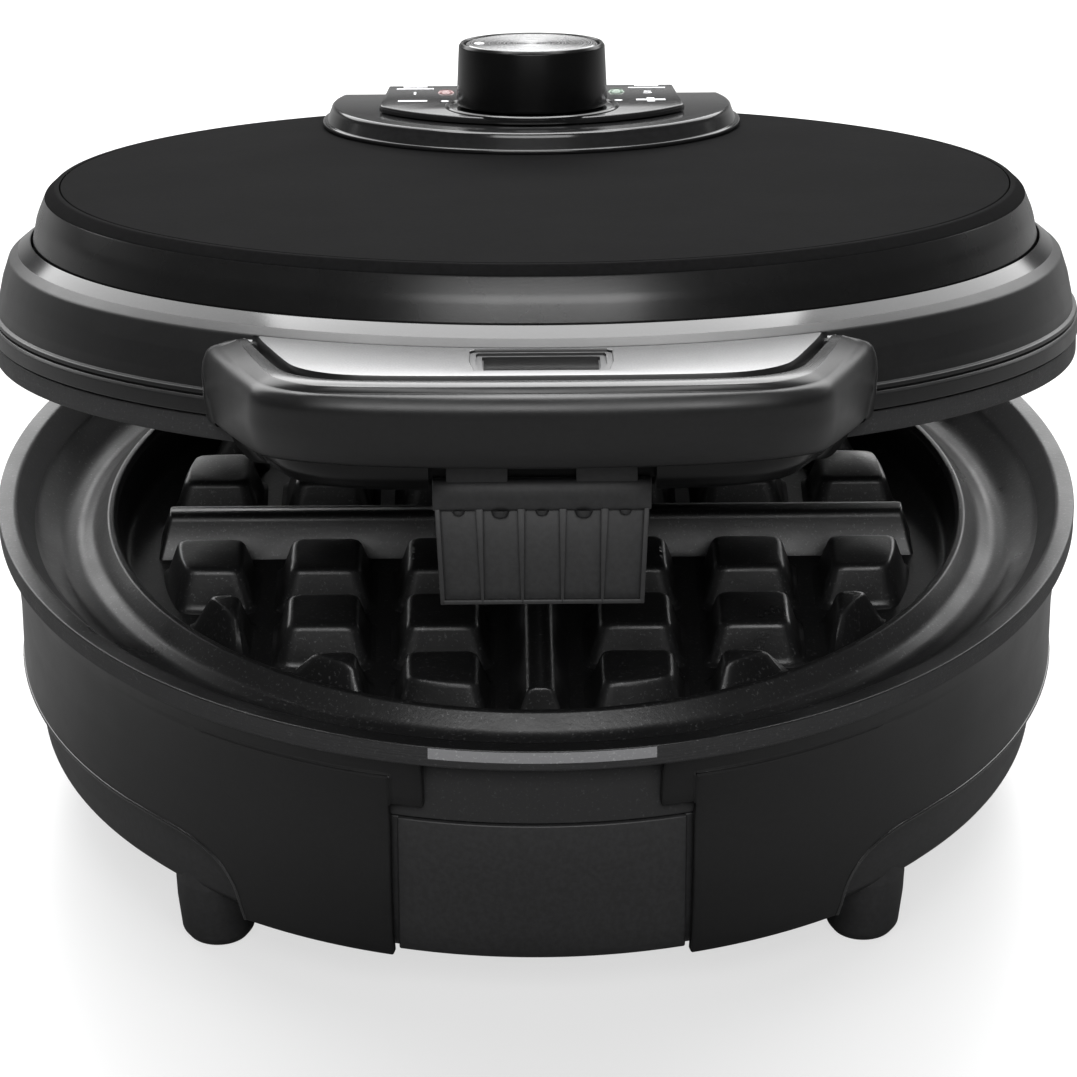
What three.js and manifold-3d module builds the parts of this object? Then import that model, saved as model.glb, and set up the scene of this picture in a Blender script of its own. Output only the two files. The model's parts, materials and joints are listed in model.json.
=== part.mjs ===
// Round waffle maker: a drum-shaped base with a moated cooking plate, and a domed lid that swings on
// a rear hinge. The lid carries a temperature knob, a bow handle and a sprung latch.
// Millimetres, +Z up, front at -Y. Base and lid are drawn about the centre of the rim plane, where the
// two cooking plates meet. The lid is drawn closed, then its group is turned open about the hinge pin.
import * as THREE from 'three';
import { mergeGeometries, mergeVertices } from 'three/addons/utils/BufferGeometryUtils.js';
import Module from 'manifold-3d';

const wasm = await Module();
wasm.setup();

// Driving dimensions.
const RIM_RADIUS = 117;
const RIM_HEIGHT = 68;
const LID_OPEN = THREE.MathUtils.degToRad(14.57);
const HINGE_BACK = 123.3;
const HINGE_PIN_RADIUS = 2;
const LUG_RADIUS = 5.8;
const GAP = 0.35;
const PIN_PLAY = 0.3;
const FACETS = 48;

const CAVITY_RADIUS = 90;
const CAVITY_DEPTH = 11;
const MOAT_LIP_Z = -4.5;
const PEG_HEIGHT = 9;
const PEG_FIRST = 20.3;
const PEG_PITCH = 25.2;

const HOUSING_RADIUS = 113;
const SKIRT_EDGE_Z = -36.8;
const DRUM_RADIUS = 110.3;
const DRUM_TOP_Z = -18.4;
const DRUM_BOTTOM_Z = -54.2;
const WING_EDGE_X = 30.7;
const NOTCH_EDGE_X = 23.7;
const NOTCH_BOTTOM_Z = -17.2;

const LEDGE_RADIUS = 111;
const LEDGE_H = 23.3;
const DOME_RADIUS = 107.5;
const DOME_SHOULDER_RADIUS = 102.1;
const DOME_TOP_H = 36.7;

const DIAL_Y = 57.5;
const BEZEL_TOP_H = 41.4;
const FASCIA_TOP_H = 43.5;
const KNOB_RADIUS = 17;
const KNOB_BASE_H = 44.2;
const KNOB_TOP_H = 58;
const SHAFT_RADIUS = 3;

const HANDLE_FRONT = 148;
const HANDLE_TOP_H = 21.4;
const HANDLE_BOTTOM_H = 4;
const LATCH_HALF_WIDTH = 21.2;
const LATCH_PIVOT_Y = -124;
const LATCH_PIVOT_H = 8.4;
const LATCH_FRONT_Y = -123;
const LATCH_BOTTOM_H = -27;
const LATCH_PIN_RADIUS = 1.5;

const BLACK_PLASTIC = { color: 0x232324, roughness: 0.42, metalness: 0 };
const GLOSS_PLASTIC = { color: 0x161617, roughness: 0.16, metalness: 0 };
const MATTE_PLASTIC = { color: 0x2b2b2c, roughness: 0.6, metalness: 0 };
const CAST_PLATE = { color: 0x2a2b2c, roughness: 0.38, metalness: 0.3 };
const STEEL = { color: 0xa9abad, roughness: 0.34, metalness: 1 };
const TINNED = { color: 0xc4c6c8, roughness: 0.3, metalness: 1 };
const RUBBER = { color: 0x1c1c1c, roughness: 0.9, metalness: 0 };

// ---------------------------------------------------------------- solids and booleans

function meshOf(points, triangles) {
  const geometry = new THREE.BufferGeometry();
  geometry.setAttribute('position', new THREE.Float32BufferAttribute(points.flat(), 3));
  geometry.setIndex(triangles.flat());
  return geometry;
}

// A solid of revolution about Z from an (r, z) outline. Points on the axis close the solid there.
function revolve(outline, facets = FACETS) {
  const area = outline.reduce((sum, [r, z], i) => {
    const [nextR, nextZ] = outline[(i + 1) % outline.length];
    return sum + r * nextZ - nextR * z;
  }, 0);
  const profile = area > 0 ? outline : [...outline].reverse();
  const points = [];
  const rings = profile.map(([r, z]) => {
    const start = points.length;
    const ring = r === 0 ? [[0, 0, z]] : circle(r, facets).map(([x, y]) => [x, y, z]);
    points.push(...ring);
    return Array.from({ length: facets }, (_, j) => start + (j % ring.length));
  });
  const triangles = [];
  rings.forEach((ring, k) => {
    const next = rings[(k + 1) % rings.length];
    for (let j = 0; j < facets; j += 1) {
      const after = (j + 1) % facets;
      triangles.push([ring[j], ring[after], next[j]], [ring[after], next[after], next[j]]);
    }
  });
  return meshOf(points, triangles.filter(([a, b, c]) => a !== b && b !== c && c !== a));
}

// A solid stacked from levels [z, outline], where every outline has the same number of (x, y) points.
function loft(levels) {
  const turned = THREE.ShapeUtils.area(levels[0][1].map(([x, y]) => new THREE.Vector2(x, y))) > 0
    ? levels
    : levels.map(([z, outline]) => [z, [...outline].reverse()]);
  const count = turned[0][1].length;
  const points = turned.flatMap(([z, outline]) => outline.map(([x, y]) => [x, y, z]));
  const triangles = [];
  for (let level = 0; level + 1 < turned.length; level += 1) {
    for (let j = 0; j < count; j += 1) {
      const low = level * count;
      const next = (j + 1) % count;
      triangles.push([low + j, low + next, low + count + next]);
      triangles.push([low + j, low + count + next, low + count + j]);
    }
  }
  const cap = (outline) => THREE.ShapeUtils.triangulateShape(
    outline.map(([x, y]) => new THREE.Vector2(x, y)), []);
  const last = (turned.length - 1) * count;
  cap(turned[0][1]).forEach(([a, b, c]) => triangles.push([a, c, b]));
  cap(turned.at(-1)[1]).forEach(([a, b, c]) => triangles.push([last + a, last + b, last + c]));
  return meshOf(points, triangles);
}

function plate(outline, low, high) {
  return loft([[low, outline], [high, outline]]);
}

function box(x0, x1, y0, y1, z0, z1) {
  return plate([[x0, y0], [x1, y0], [x1, y1], [x0, y1]], z0, z1);
}

// An outline in (x, z), pushed along Y from y0 to y1.
function slab(outline, y0, y1) {
  return plate(outline, -y1, -y0).rotateX(Math.PI / 2);
}

// An outline in (y, z), pushed along X from x0 to x1.
function bar(outline, x0, x1) {
  return plate(outline, x0, x1).applyMatrix4(new THREE.Matrix4().set(
    0, 0, 1, 0,
    1, 0, 0, 0,
    0, 1, 0, 0,
    0, 0, 0, 1,
  ));
}

function rodAlongX(radius, x0, x1, y, z, facets = 24) {
  const round = circle(radius, facets).map(([u, v]) => [y + u, z + v]);
  return bar(round, x0, x1);
}

function circle(radius, facets = 24, x = 0, y = 0) {
  return Array.from({ length: facets }, (_, j) => {
    const angle = (2 * Math.PI * j) / facets;
    return [x + radius * Math.cos(angle), y + radius * Math.sin(angle)];
  });
}

function cylinder(radius, low, high, x, y, facets = 24) {
  return plate(circle(radius, facets, x, y), low, high);
}

// A round wire swept along a curve.
function wire(curve, radius, steps, sides = 8) {
  const section = new THREE.Shape(circle(radius, sides).map(([x, y]) => new THREE.Vector2(x, y)));
  const swept = new THREE.ExtrudeGeometry(section, { extrudePath: curve, steps, bevelEnabled: false });
  return tidy(swept);
}

function tidy(geometry) {
  geometry.deleteAttribute('normal');
  geometry.deleteAttribute('uv');
  return mergeVertices(geometry, 1e-4);
}

function toManifold(geometry) {
  return new wasm.Manifold(new wasm.Mesh({
    numProp: 3,
    vertProperties: new Float32Array(geometry.attributes.position.array),
    triVerts: new Uint32Array(geometry.index.array),
  }));
}

function toGeometry(manifold) {
  const mesh = manifold.getMesh();
  const geometry = new THREE.BufferGeometry();
  geometry.setAttribute('position', new THREE.BufferAttribute(new Float32Array(mesh.vertProperties), 3));
  geometry.setIndex(new THREE.BufferAttribute(new Uint32Array(mesh.triVerts), 1));
  return geometry;
}

function combine(operation, first, others) {
  const result = others.reduce((solid, next) => solid[operation](toManifold(next)), toManifold(first));
  return toGeometry(result);
}

const join = (first, ...others) => combine('add', first, others);
const cut = (first, ...others) => combine('subtract', first, others);
const common = (first, ...others) => combine('intersect', first, others);

function moved(geometry, x, y, z) {
  return geometry.clone().translate(x, y, z);
}

// ---------------------------------------------------------------- scene graph

const machine = new THREE.Group();
machine.name = 'waffle_maker';
const base = new THREE.Group();
const hinge = new THREE.Group();
const lid = new THREE.Group();

// The machine's box reaches from the opened handle at the front to the hinge lugs at the back.
const handleReach = HINGE_BACK + HANDLE_FRONT;
const frontY = HINGE_BACK - handleReach * Math.cos(LID_OPEN) + 20 * Math.sin(LID_OPEN);
const backY = HINGE_BACK + LUG_RADIUS;
base.position.set(0, -(frontY + backY) / 2, RIM_HEIGHT);
hinge.position.set(0, HINGE_BACK, 0);
hinge.rotation.x = -LID_OPEN;
lid.position.set(0, -HINGE_BACK, 0);
machine.add(base);
base.add(hinge);
hinge.add(lid);

function add(parent, name, geometry, look, x = 0, y = 0, z = 0) {
  const mesh = new THREE.Mesh(geometry, new THREE.MeshStandardMaterial(look));
  mesh.name = name;
  mesh.position.set(x, y, z);
  parent.add(mesh);
  return mesh;
}

// ---------------------------------------------------------------- cooking plates

// Pegs and the raised cross that divides the waffle, standing up from z = 0 and rooted below it.
function wafflePegs(height) {
  const rooted = -1;
  const square = (x, y, half) => [[x - half, y - half], [x + half, y - half], [x + half, y + half],
    [x - half, y + half]];
  const strip = (halfX, halfY) => [[-halfX, -halfY], [halfX, -halfY], [halfX, halfY], [-halfX, halfY]];
  const places = [0, 1, 2].map((i) => PEG_FIRST + i * PEG_PITCH);
  const pegs = [];
  for (const x of [...places, ...places.map((p) => -p)]) {
    for (const y of [...places, ...places.map((p) => -p)]) {
      const nearestCorner = Math.hypot(Math.abs(x) - 8, Math.abs(y) - 8);
      if (nearestCorner < 78) pegs.push(loft([[rooted, square(x, y, 9.9)], [height, square(x, y, 7.2)]]));
    }
  }
  const reach = 86;
  const across = loft([[rooted, strip(reach, 5.6)], [height, strip(reach, 2.6)]]);
  const along = loft([[rooted, strip(5.6, reach)], [height, strip(2.6, reach)]]);
  const bounds = loft([[rooted, circle(83, FACETS)], [height, circle(80, FACETS)]]);
  return common(join(mergeGeometries(pegs), across, along), bounds);
}

function addLowerPlate() {
  const floorZ = MOAT_LIP_Z - CAVITY_DEPTH;
  const body = revolve([
    [0, floorZ], [CAVITY_RADIUS, floorZ], [91.6, MOAT_LIP_Z - 0.8], [92.2, MOAT_LIP_Z],
    [93.3, MOAT_LIP_Z], [96.6, -8.2], [99.6, -9.5], [103, -9.1], [108.4, -5.6], [113.4, 0],
    [RIM_RADIUS, 0], [RIM_RADIUS, -4.8], [110.7, -5.2], [110.7, -17.9], [108.4, -17.9],
    [108.4, -10], [98, -12.4], [93.2, floorZ - 3.4], [0, floorZ - 3.4],
  ]);
  const pegs = moved(wafflePegs(PEG_HEIGHT), 0, 0, floorZ);
  add(base, 'lower_cooking_plate', join(body, pegs), CAST_PLATE);
}

function addUpperPlate() {
  const ceilingH = CAVITY_DEPTH;
  const body = revolve([
    [0, ceilingH], [CAVITY_RADIUS, ceilingH], [91.4, -3.4], [95.6, -3.4], [104, 0.5], [116.2, 0.5],
    [116.2, 5.1], [107, 5.1], [99, 4], [93.2, ceilingH + 3.2], [0, ceilingH + 3.2],
  ]);
  const pegs = wafflePegs(PEG_HEIGHT).rotateX(Math.PI).translate(0, 0, ceilingH);
  add(lid, 'upper_cooking_plate', join(body, pegs), CAST_PLATE);
}

// ---------------------------------------------------------------- heaters

// A horseshoe tube whose two cold ends turn away from the plate by `turn` millimetres.
class HorseshoeCurve extends THREE.Curve {
  constructor(radius, turn) {
    super();
    this.radius = radius;
    this.turn = turn;
  }

  getPoint(t) {
    const openAngle = 0.5;
    const angle = Math.PI / 2 + openAngle + t * (2 * Math.PI - 2 * openAngle);
    const fromEnd = Math.min(t, 1 - t) / 0.06;
    const drop = fromEnd < 1 ? this.turn * (1 - fromEnd) ** 2 : 0;
    return new THREE.Vector3(this.radius * Math.cos(angle), this.radius * Math.sin(angle), drop);
  }
}

function addHeaters() {
  const tubeRadius = 3.3;
  const lowerZ = MOAT_LIP_Z - CAVITY_DEPTH - 3.4 - GAP - tubeRadius;
  const upperH = CAVITY_DEPTH + 3.2 + GAP + tubeRadius;
  const dish = (z, edge) => revolve([
    [0, z], [80, z], [87, z + edge], [86.2, z + edge + 0.8], [79.6, z + 1], [0, z + 1],
  ], 32);
  const tube = (turn) => wire(new HorseshoeCurve(62, turn), tubeRadius, 28, 6);
  add(base, 'lower_heating_element', tube(-4), STEEL, 0, 0, lowerZ);
  add(lid, 'upper_heating_element', tube(1), STEEL, 0, 0, upperH);
  add(base, 'lower_heat_reflector', dish(lowerZ - tubeRadius - 6, 4), TINNED);
  const upperDish = cut(
    revolve([[0, 23], [86, 23], [88, 21.5], [88.8, 22.2], [86.6, 24], [0, 24]], 32),
    cylinder(5, 22, 25, 0, DIAL_Y),
  );
  add(lid, 'upper_heat_reflector', upperDish, TINNED);
}

// ---------------------------------------------------------------- base

// A lug behind the housing, with a leg down its outside. The outline is in (y, z).
function hingeLug(x0, x1) {
  const round = Array.from({ length: 13 }, (_, i) => {
    const angle = -0.35 + (i / 12) * 3.5;
    return [HINGE_BACK + LUG_RADIUS * Math.cos(angle), LUG_RADIUS * Math.sin(angle)];
  });
  return bar([...round, [117.6, -6.4], [104, -6.4], [104, -33], [114, -33], [122, -20]], x0, x1);
}

function addHousing() {
  const shell = revolve([
    [115.6, -5.6], [113.8, -12], [HOUSING_RADIUS, -22], [HOUSING_RADIUS, SKIRT_EDGE_Z],
    [112.4, -50], [111.6, -53.6], [110.8, -53.6], [111.1, -17], [111.1, -8], [112.4, -5.6],
  ]);
  const lugs = [hingeLug(-33, -22), hingeLug(22, 33)];
  const inside = revolve([[0, -60], [111.1, -60], [111.1, 20], [0, 20]]);

  // The apron drops below the skirt at the front only, and ends each side in an S-shaped edge.
  const apronEdge = [[118, SKIRT_EDGE_Z], [78, SKIRT_EDGE_Z], [70.6, -37.8], [66.8, -40.6], [64.6, -44],
    [63.4, -48.4], [62.6, -56], [118, -56]];
  const beside = (side) => slab(apronEdge.map(([x, z]) => [x * side, z]), -118, 2);
  const behind = box(-118, 118, 1, 118, -56, SKIRT_EDGE_Z);

  // A shallow band under the rim, cut off centre so that it fades out towards the sides.
  const band = moved(revolve([[113.5, -9.6], [120, -9.6], [120, -4], [113.5, -4]]), 0, 1, 0);
  const frontBand = common(band, box(-90, 90, -125, -60, -12, -4));

  const notch = box(-NOTCH_EDGE_X, NOTCH_EDGE_X, -125, -95, NOTCH_BOTTOM_Z - 1, -4);
  const panelOpening = box(-WING_EDGE_X, WING_EDGE_X, -125, -95, -60, NOTCH_BOTTOM_Z);
  const pinHole = rodAlongX(HINGE_PIN_RADIUS + PIN_PLAY, -40, 40, HINGE_BACK, 0);
  const glandHole = cylinder(6.4, -125, -90, 0, 0).rotateX(Math.PI / 2).translate(0, 0, -27);
  const body = cut(
    join(shell, ...lugs), inside, beside(1), beside(-1), behind, frontBand, notch, panelOpening,
    pinHole, glandHole,
  );
  add(base, 'base_housing', body, BLACK_PLASTIC);
}

function addDrum() {
  const wall = revolve([
    [DRUM_RADIUS, DRUM_TOP_Z], [109.8, -46], [109, -51.6], [106.6, DRUM_BOTTOM_Z],
    [87, DRUM_BOTTOM_Z], [87, DRUM_BOTTOM_Z + 2.4], [106, DRUM_BOTTOM_Z + 2.4], [107.9, DRUM_TOP_Z],
  ]);
  const glandHole = cylinder(6.4, -125, -90, 0, 0).rotateX(Math.PI / 2).translate(0, 0, -27);
  add(base, 'base_drum', cut(wall, glandHole), MATTE_PLASTIC);

  const ventSlot = (y) => box(-12, 12, y - 1.6, y + 1.6, -60, -50);
  const slots = [-50, -41, -32, 32, 41, 50].map(ventSlot);
  const screwHole = ([x, y]) => cylinder(2.2, -60, -50, x, y, 16);
  const disc = revolve([[0, -54.6], [92, -54.6], [92, -56.4], [0, -56.4]]);
  add(base, 'base_floor', cut(disc, ...slots, ...screwPlaces().map(screwHole)), MATTE_PLASTIC);
}

function screwPlaces() {
  return [0, 1, 2, 3].map((i) => {
    const angle = (Math.PI / 2) * i;
    return [89.6 * Math.cos(angle), 89.6 * Math.sin(angle)];
  });
}

function addFeet() {
  const soleZ = -RIM_HEIGHT;
  const foot = revolve([
    [0, -54.6], [9, -54.6], [7.6, soleZ + 2.2], [6.6, soleZ + 0.8], [5.9, soleZ + 0.8],
    [5.9, soleZ + 3], [0, soleZ + 3],
  ], 16);
  const pad = revolve([[0, soleZ], [5, soleZ], [5.5, soleZ + 0.5], [5.5, soleZ + 2.6], [0, soleZ + 2.6]], 16);
  [[-1, -1], [1, -1], [-1, 1], [1, 1]].forEach(([sideX, sideY], i) => {
    const x = 68 * sideX;
    const y = 75 * sideY;
    add(base, `foot_${i + 1}`, foot.clone(), MATTE_PLASTIC, x, y);
    add(base, `foot_pad_${i + 1}`, pad.clone(), RUBBER, x, y);
  });
}

function addBaseFittings() {
  const screw = revolve([[0, -58.4], [2.6, -58.4], [3.6, -57.4], [3.6, -56.8], [1.8, -56.8], [1.8, -54.9],
    [0, -54.9]], 12);
  screwPlaces().forEach(([x, y], i) => add(base, `floor_screw_${i + 1}`, screw.clone(), STEEL, x, y));

  // The cord gland: a flange outside the housing and a collar through both walls, with a clear bore.
  const gland = revolve([[3.2, -102], [6, -102], [6, -113.4], [9.5, -113.4], [9, -117], [4.6, -119],
    [3.2, -119]], 24).rotateX(Math.PI / 2);
  add(base, 'cord_gland', gland, RUBBER, 0, 0, -27);

  const terminal = cut(
    box(-16, 16, -7, 7, 0, 11),
    ...[-10, 0, 10].map((x) => cylinder(2.4, 5, 12, x, 0, 12)),
  );
  add(base, 'terminal_block', terminal, { ...MATTE_PLASTIC, color: 0xd8d4c8 }, 0, 62, -53.9);
  const fuse = revolve([[0, -9], [1, -9], [2.2, -7], [2.2, 7], [1, 9], [0, 9]], 12).rotateY(Math.PI / 2);
  add(base, 'thermal_fuse', fuse, STEEL, 0, 30, -38);

  const pin = rodAlongX(HINGE_PIN_RADIUS, -35, 33.6, 0, 0);
  const head = rodAlongX(3.4, -36.2, -33.5, 0, 0);
  add(base, 'hinge_pin', join(pin, head), STEEL, 0, HINGE_BACK, 0);
}

// ---------------------------------------------------------------- lid

function addLidSkirt() {
  const shell = revolve([
    [116.6, 5.5], [116.6, 9.6], [115.6, 10.5], [114.8, 15], [113.4, 19.4], [LEDGE_RADIUS, LEDGE_H],
    [DOME_RADIUS + 0.5, 25.7], [DOME_RADIUS + 0.5, 23.6], [109.2, 21.6], [111.6, 16], [112.8, 5.5],
  ]);

  // The knuckle hangs behind the skirt and carries the lid on the pin.
  const knuckle = Array.from({ length: 13 }, (_, i) => {
    const angle = -2.6 + (i / 12) * 3.5;
    return [HINGE_BACK + 5.4 * Math.cos(angle), 5.4 * Math.sin(angle)];
  });
  const arm = bar([...knuckle, [125.6, 12], [118, 19.5], [106, 19.5], [106, 6.2], [117.4, 6.2]], -21.5, 21.5);
  const inside = revolve([[0, -20], [112.8, -20], [112.8, 5.5], [111.6, 16], [109.2, 21.6], [108, 23.6],
    [108, 40], [0, 40]]);
  const pinHole = rodAlongX(HINGE_PIN_RADIUS + PIN_PLAY, -40, 40, HINGE_BACK, 0);
  add(lid, 'lid_skirt', cut(join(shell, arm), inside, pinHole), BLACK_PLASTIC);
}

function addLidCover() {
  const side = revolve([
    [DOME_RADIUS, 25.9], [106.4, 31], [104.4, 35], [DOME_SHOULDER_RADIUS, DOME_TOP_H],
    [101.6, DOME_TOP_H - 0.4], [101.6, 34.4], [96, 34.4], [96, 32.6], [101.8, 32.4], [105, 27],
    [105.4, 21], [108.6, 21], [107.4, 23.4],
  ]);
  add(lid, 'lid_cover', side, BLACK_PLASTIC);

  const topRadius = 101.6 - GAP;
  const top = revolve([
    [0, 34.8], [topRadius, 34.8], [topRadius, DOME_TOP_H - 0.4], [topRadius - 0.4, DOME_TOP_H],
    [60, DOME_TOP_H + 0.4], [0, DOME_TOP_H + 0.5],
  ]);
  const dialHole = cylinder(10, 30, 40, 0, DIAL_Y);
  add(lid, 'lid_top_panel', cut(top, dialHole), MATTE_PLASTIC);
}

// A circle segment with a straight back edge, as used for the bezel around the dial.
function bezelOutline(radius, centreY, backY) {
  const corner = Math.asin((backY - centreY) / radius);
  const points = [];
  for (let i = 0; i <= 30; i += 1) {
    const angle = Math.PI - corner + (i / 30) * (Math.PI + 2 * corner);
    points.push([radius * Math.cos(angle), centreY + radius * Math.sin(angle)]);
  }
  return points;
}

// A shield: an arc at the front between two corners, and sides that draw in to a straight back.
function fasciaOutline(inset) {
  const halfChord = 34.4 - inset;
  const arcRadius = 44.1;
  const centreY = 39.5 + inset + arcRadius;
  const sweep = Math.asin(halfChord / arcRadius);
  const points = [];
  for (let i = 0; i <= 16; i += 1) {
    const angle = -Math.PI / 2 - sweep + (i / 16) * 2 * sweep;
    points.push([arcRadius * Math.cos(angle), centreY + arcRadius * Math.sin(angle)]);
  }
  return [...points, [32.8 - inset, 90 - inset], [-32.8 + inset, 90 - inset]];
}

function addControls() {
  const under = DOME_TOP_H + 0.5 + GAP;
  const bezel = loft([
    [under, bezelOutline(47.6, 78.2, 92)],
    [under + 0.8, bezelOutline(47.6, 78.2, 92)],
    [under + 1, bezelOutline(46.6, 78.2, 91.4)],
    [BEZEL_TOP_H - 0.6, bezelOutline(45.8, 78.2, 90.8)],
    [BEZEL_TOP_H, bezelOutline(45.2, 78.2, 90.2)],
  ]);
  const dialHole = cylinder(8, 30, 50, 0, DIAL_Y);
  add(lid, 'control_bezel', cut(bezel, dialHole), GLOSS_PLASTIC);

  const fascia = loft([
    [BEZEL_TOP_H + GAP, fasciaOutline(0)],
    [FASCIA_TOP_H - 0.5, fasciaOutline(0)],
    [FASCIA_TOP_H, fasciaOutline(0.5)],
  ]);
  const dialRecess = cylinder(19.3, FASCIA_TOP_H - 0.6, 50, 0, DIAL_Y, 32);
  const lampHole = (x) => cylinder(2.3, 40, 50, x, 79, 16);
  const shaftHole = cylinder(5, 30, 50, 0, DIAL_Y);
  add(lid, 'control_fascia', cut(fascia, dialRecess, shaftHole, lampHole(-19.5), lampHole(19.5)),
    GLOSS_PLASTIC);

  const lampLow = BEZEL_TOP_H + GAP;
  const lamp = revolve([[0, lampLow], [2, lampLow], [2, FASCIA_TOP_H], [1.4, FASCIA_TOP_H + 0.5],
    [0, FASCIA_TOP_H + 0.7]], 16);
  add(lid, 'power_lamp', lamp.clone(), { color: 0x7a1512, roughness: 0.25, metalness: 0 }, -19.5, 79);
  add(lid, 'ready_lamp', lamp.clone(), { color: 0x1d5a2a, roughness: 0.25, metalness: 0 }, 19.5, 79);
}

function addThermostat() {
  const bracket = cut(
    join(box(-22, 22, -8, 8, 32.6, 33.8), box(-22, -20.8, -8, 8, 25, 33), box(20.8, 22, -8, 8, 25, 33)),
    cylinder(4.6, 30, 36, 0, 0),
  );
  add(lid, 'thermostat_bracket', bracket, TINNED, 0, DIAL_Y, 0);
  const body = cut(box(-13, 13, -10, 10, 24.6, 32.2), cylinder(SHAFT_RADIUS + 0.4, 27, 36, 0, 0));
  add(lid, 'thermostat_body', body, { ...MATTE_PLASTIC, color: 0x6b4a33 }, 0, DIAL_Y, 0);
}

function addKnob() {
  const body = revolve([
    [SHAFT_RADIUS + GAP, KNOB_BASE_H + 1.6], [SHAFT_RADIUS + GAP, KNOB_TOP_H - 4], [0, KNOB_TOP_H - 4],
    [0, KNOB_TOP_H - 1.8], [15.2, KNOB_TOP_H - 1.8], [15.2, KNOB_TOP_H], [16.4, KNOB_TOP_H],
    [KNOB_RADIUS, KNOB_TOP_H - 0.6], [KNOB_RADIUS, KNOB_BASE_H], [14.6, KNOB_BASE_H],
    [14.6, KNOB_TOP_H - 7], [6, KNOB_TOP_H - 7], [6, KNOB_BASE_H + 1.6],
  ], 32);
  add(lid, 'knob', body, GLOSS_PLASTIC, 0, DIAL_Y, 0);

  const capLow = KNOB_TOP_H - 1.8 + GAP;
  const disc = revolve([[0, capLow], [14.8, capLow], [14.8, KNOB_TOP_H - 0.5], [14.3, KNOB_TOP_H - 0.2],
    [0, KNOB_TOP_H - 0.2]], 32);
  const pointer = cylinder(1.1, KNOB_TOP_H - 0.8, KNOB_TOP_H + 2, -11.8, 0, 16);
  add(lid, 'knob_cap', cut(disc, pointer), STEEL, 0, DIAL_Y, 0);

  const shaftTop = KNOB_TOP_H - 4 - GAP;
  add(lid, 'thermostat_shaft', cylinder(SHAFT_RADIUS, 27 + GAP, shaftTop, 0, 0), STEEL, 0, DIAL_Y, 0);
}

// ---------------------------------------------------------------- handle

// Plan of the bow handle: sides that close towards the front, rounded corners and a bulging front.
function handleOutline(halfBack, halfFront, front, inset = 0, backY = -80) {
  const cornerY = -(front - inset) + 16;
  const half = [[halfBack - inset, backY], [halfBack - inset, -96 + inset / 2]];
  const edge = halfFront - inset;
  half.push([edge + 1.6, cornerY], [edge - 1.6, cornerY - 5.2], [edge - 7, cornerY - 9.4]);
  half.push([edge - 16, cornerY - 12.6], [edge - 32, cornerY - 15.2]);
  const mirrored = half.map(([x, y]) => [-x, y]);
  return [...mirrored, [0, -(front - inset)], ...half.reverse()];
}

// The room that the lid's skirt takes up, with a clearance, for pieces that butt against it.
function skirtRoom() {
  return revolve([[0, -20], [117, -20], [117, 9.7], [116, 10.6], [115.2, 15], [113.8, 19.4],
    [111.4, 23.4], [111.4, 40], [0, 40]]);
}

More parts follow.
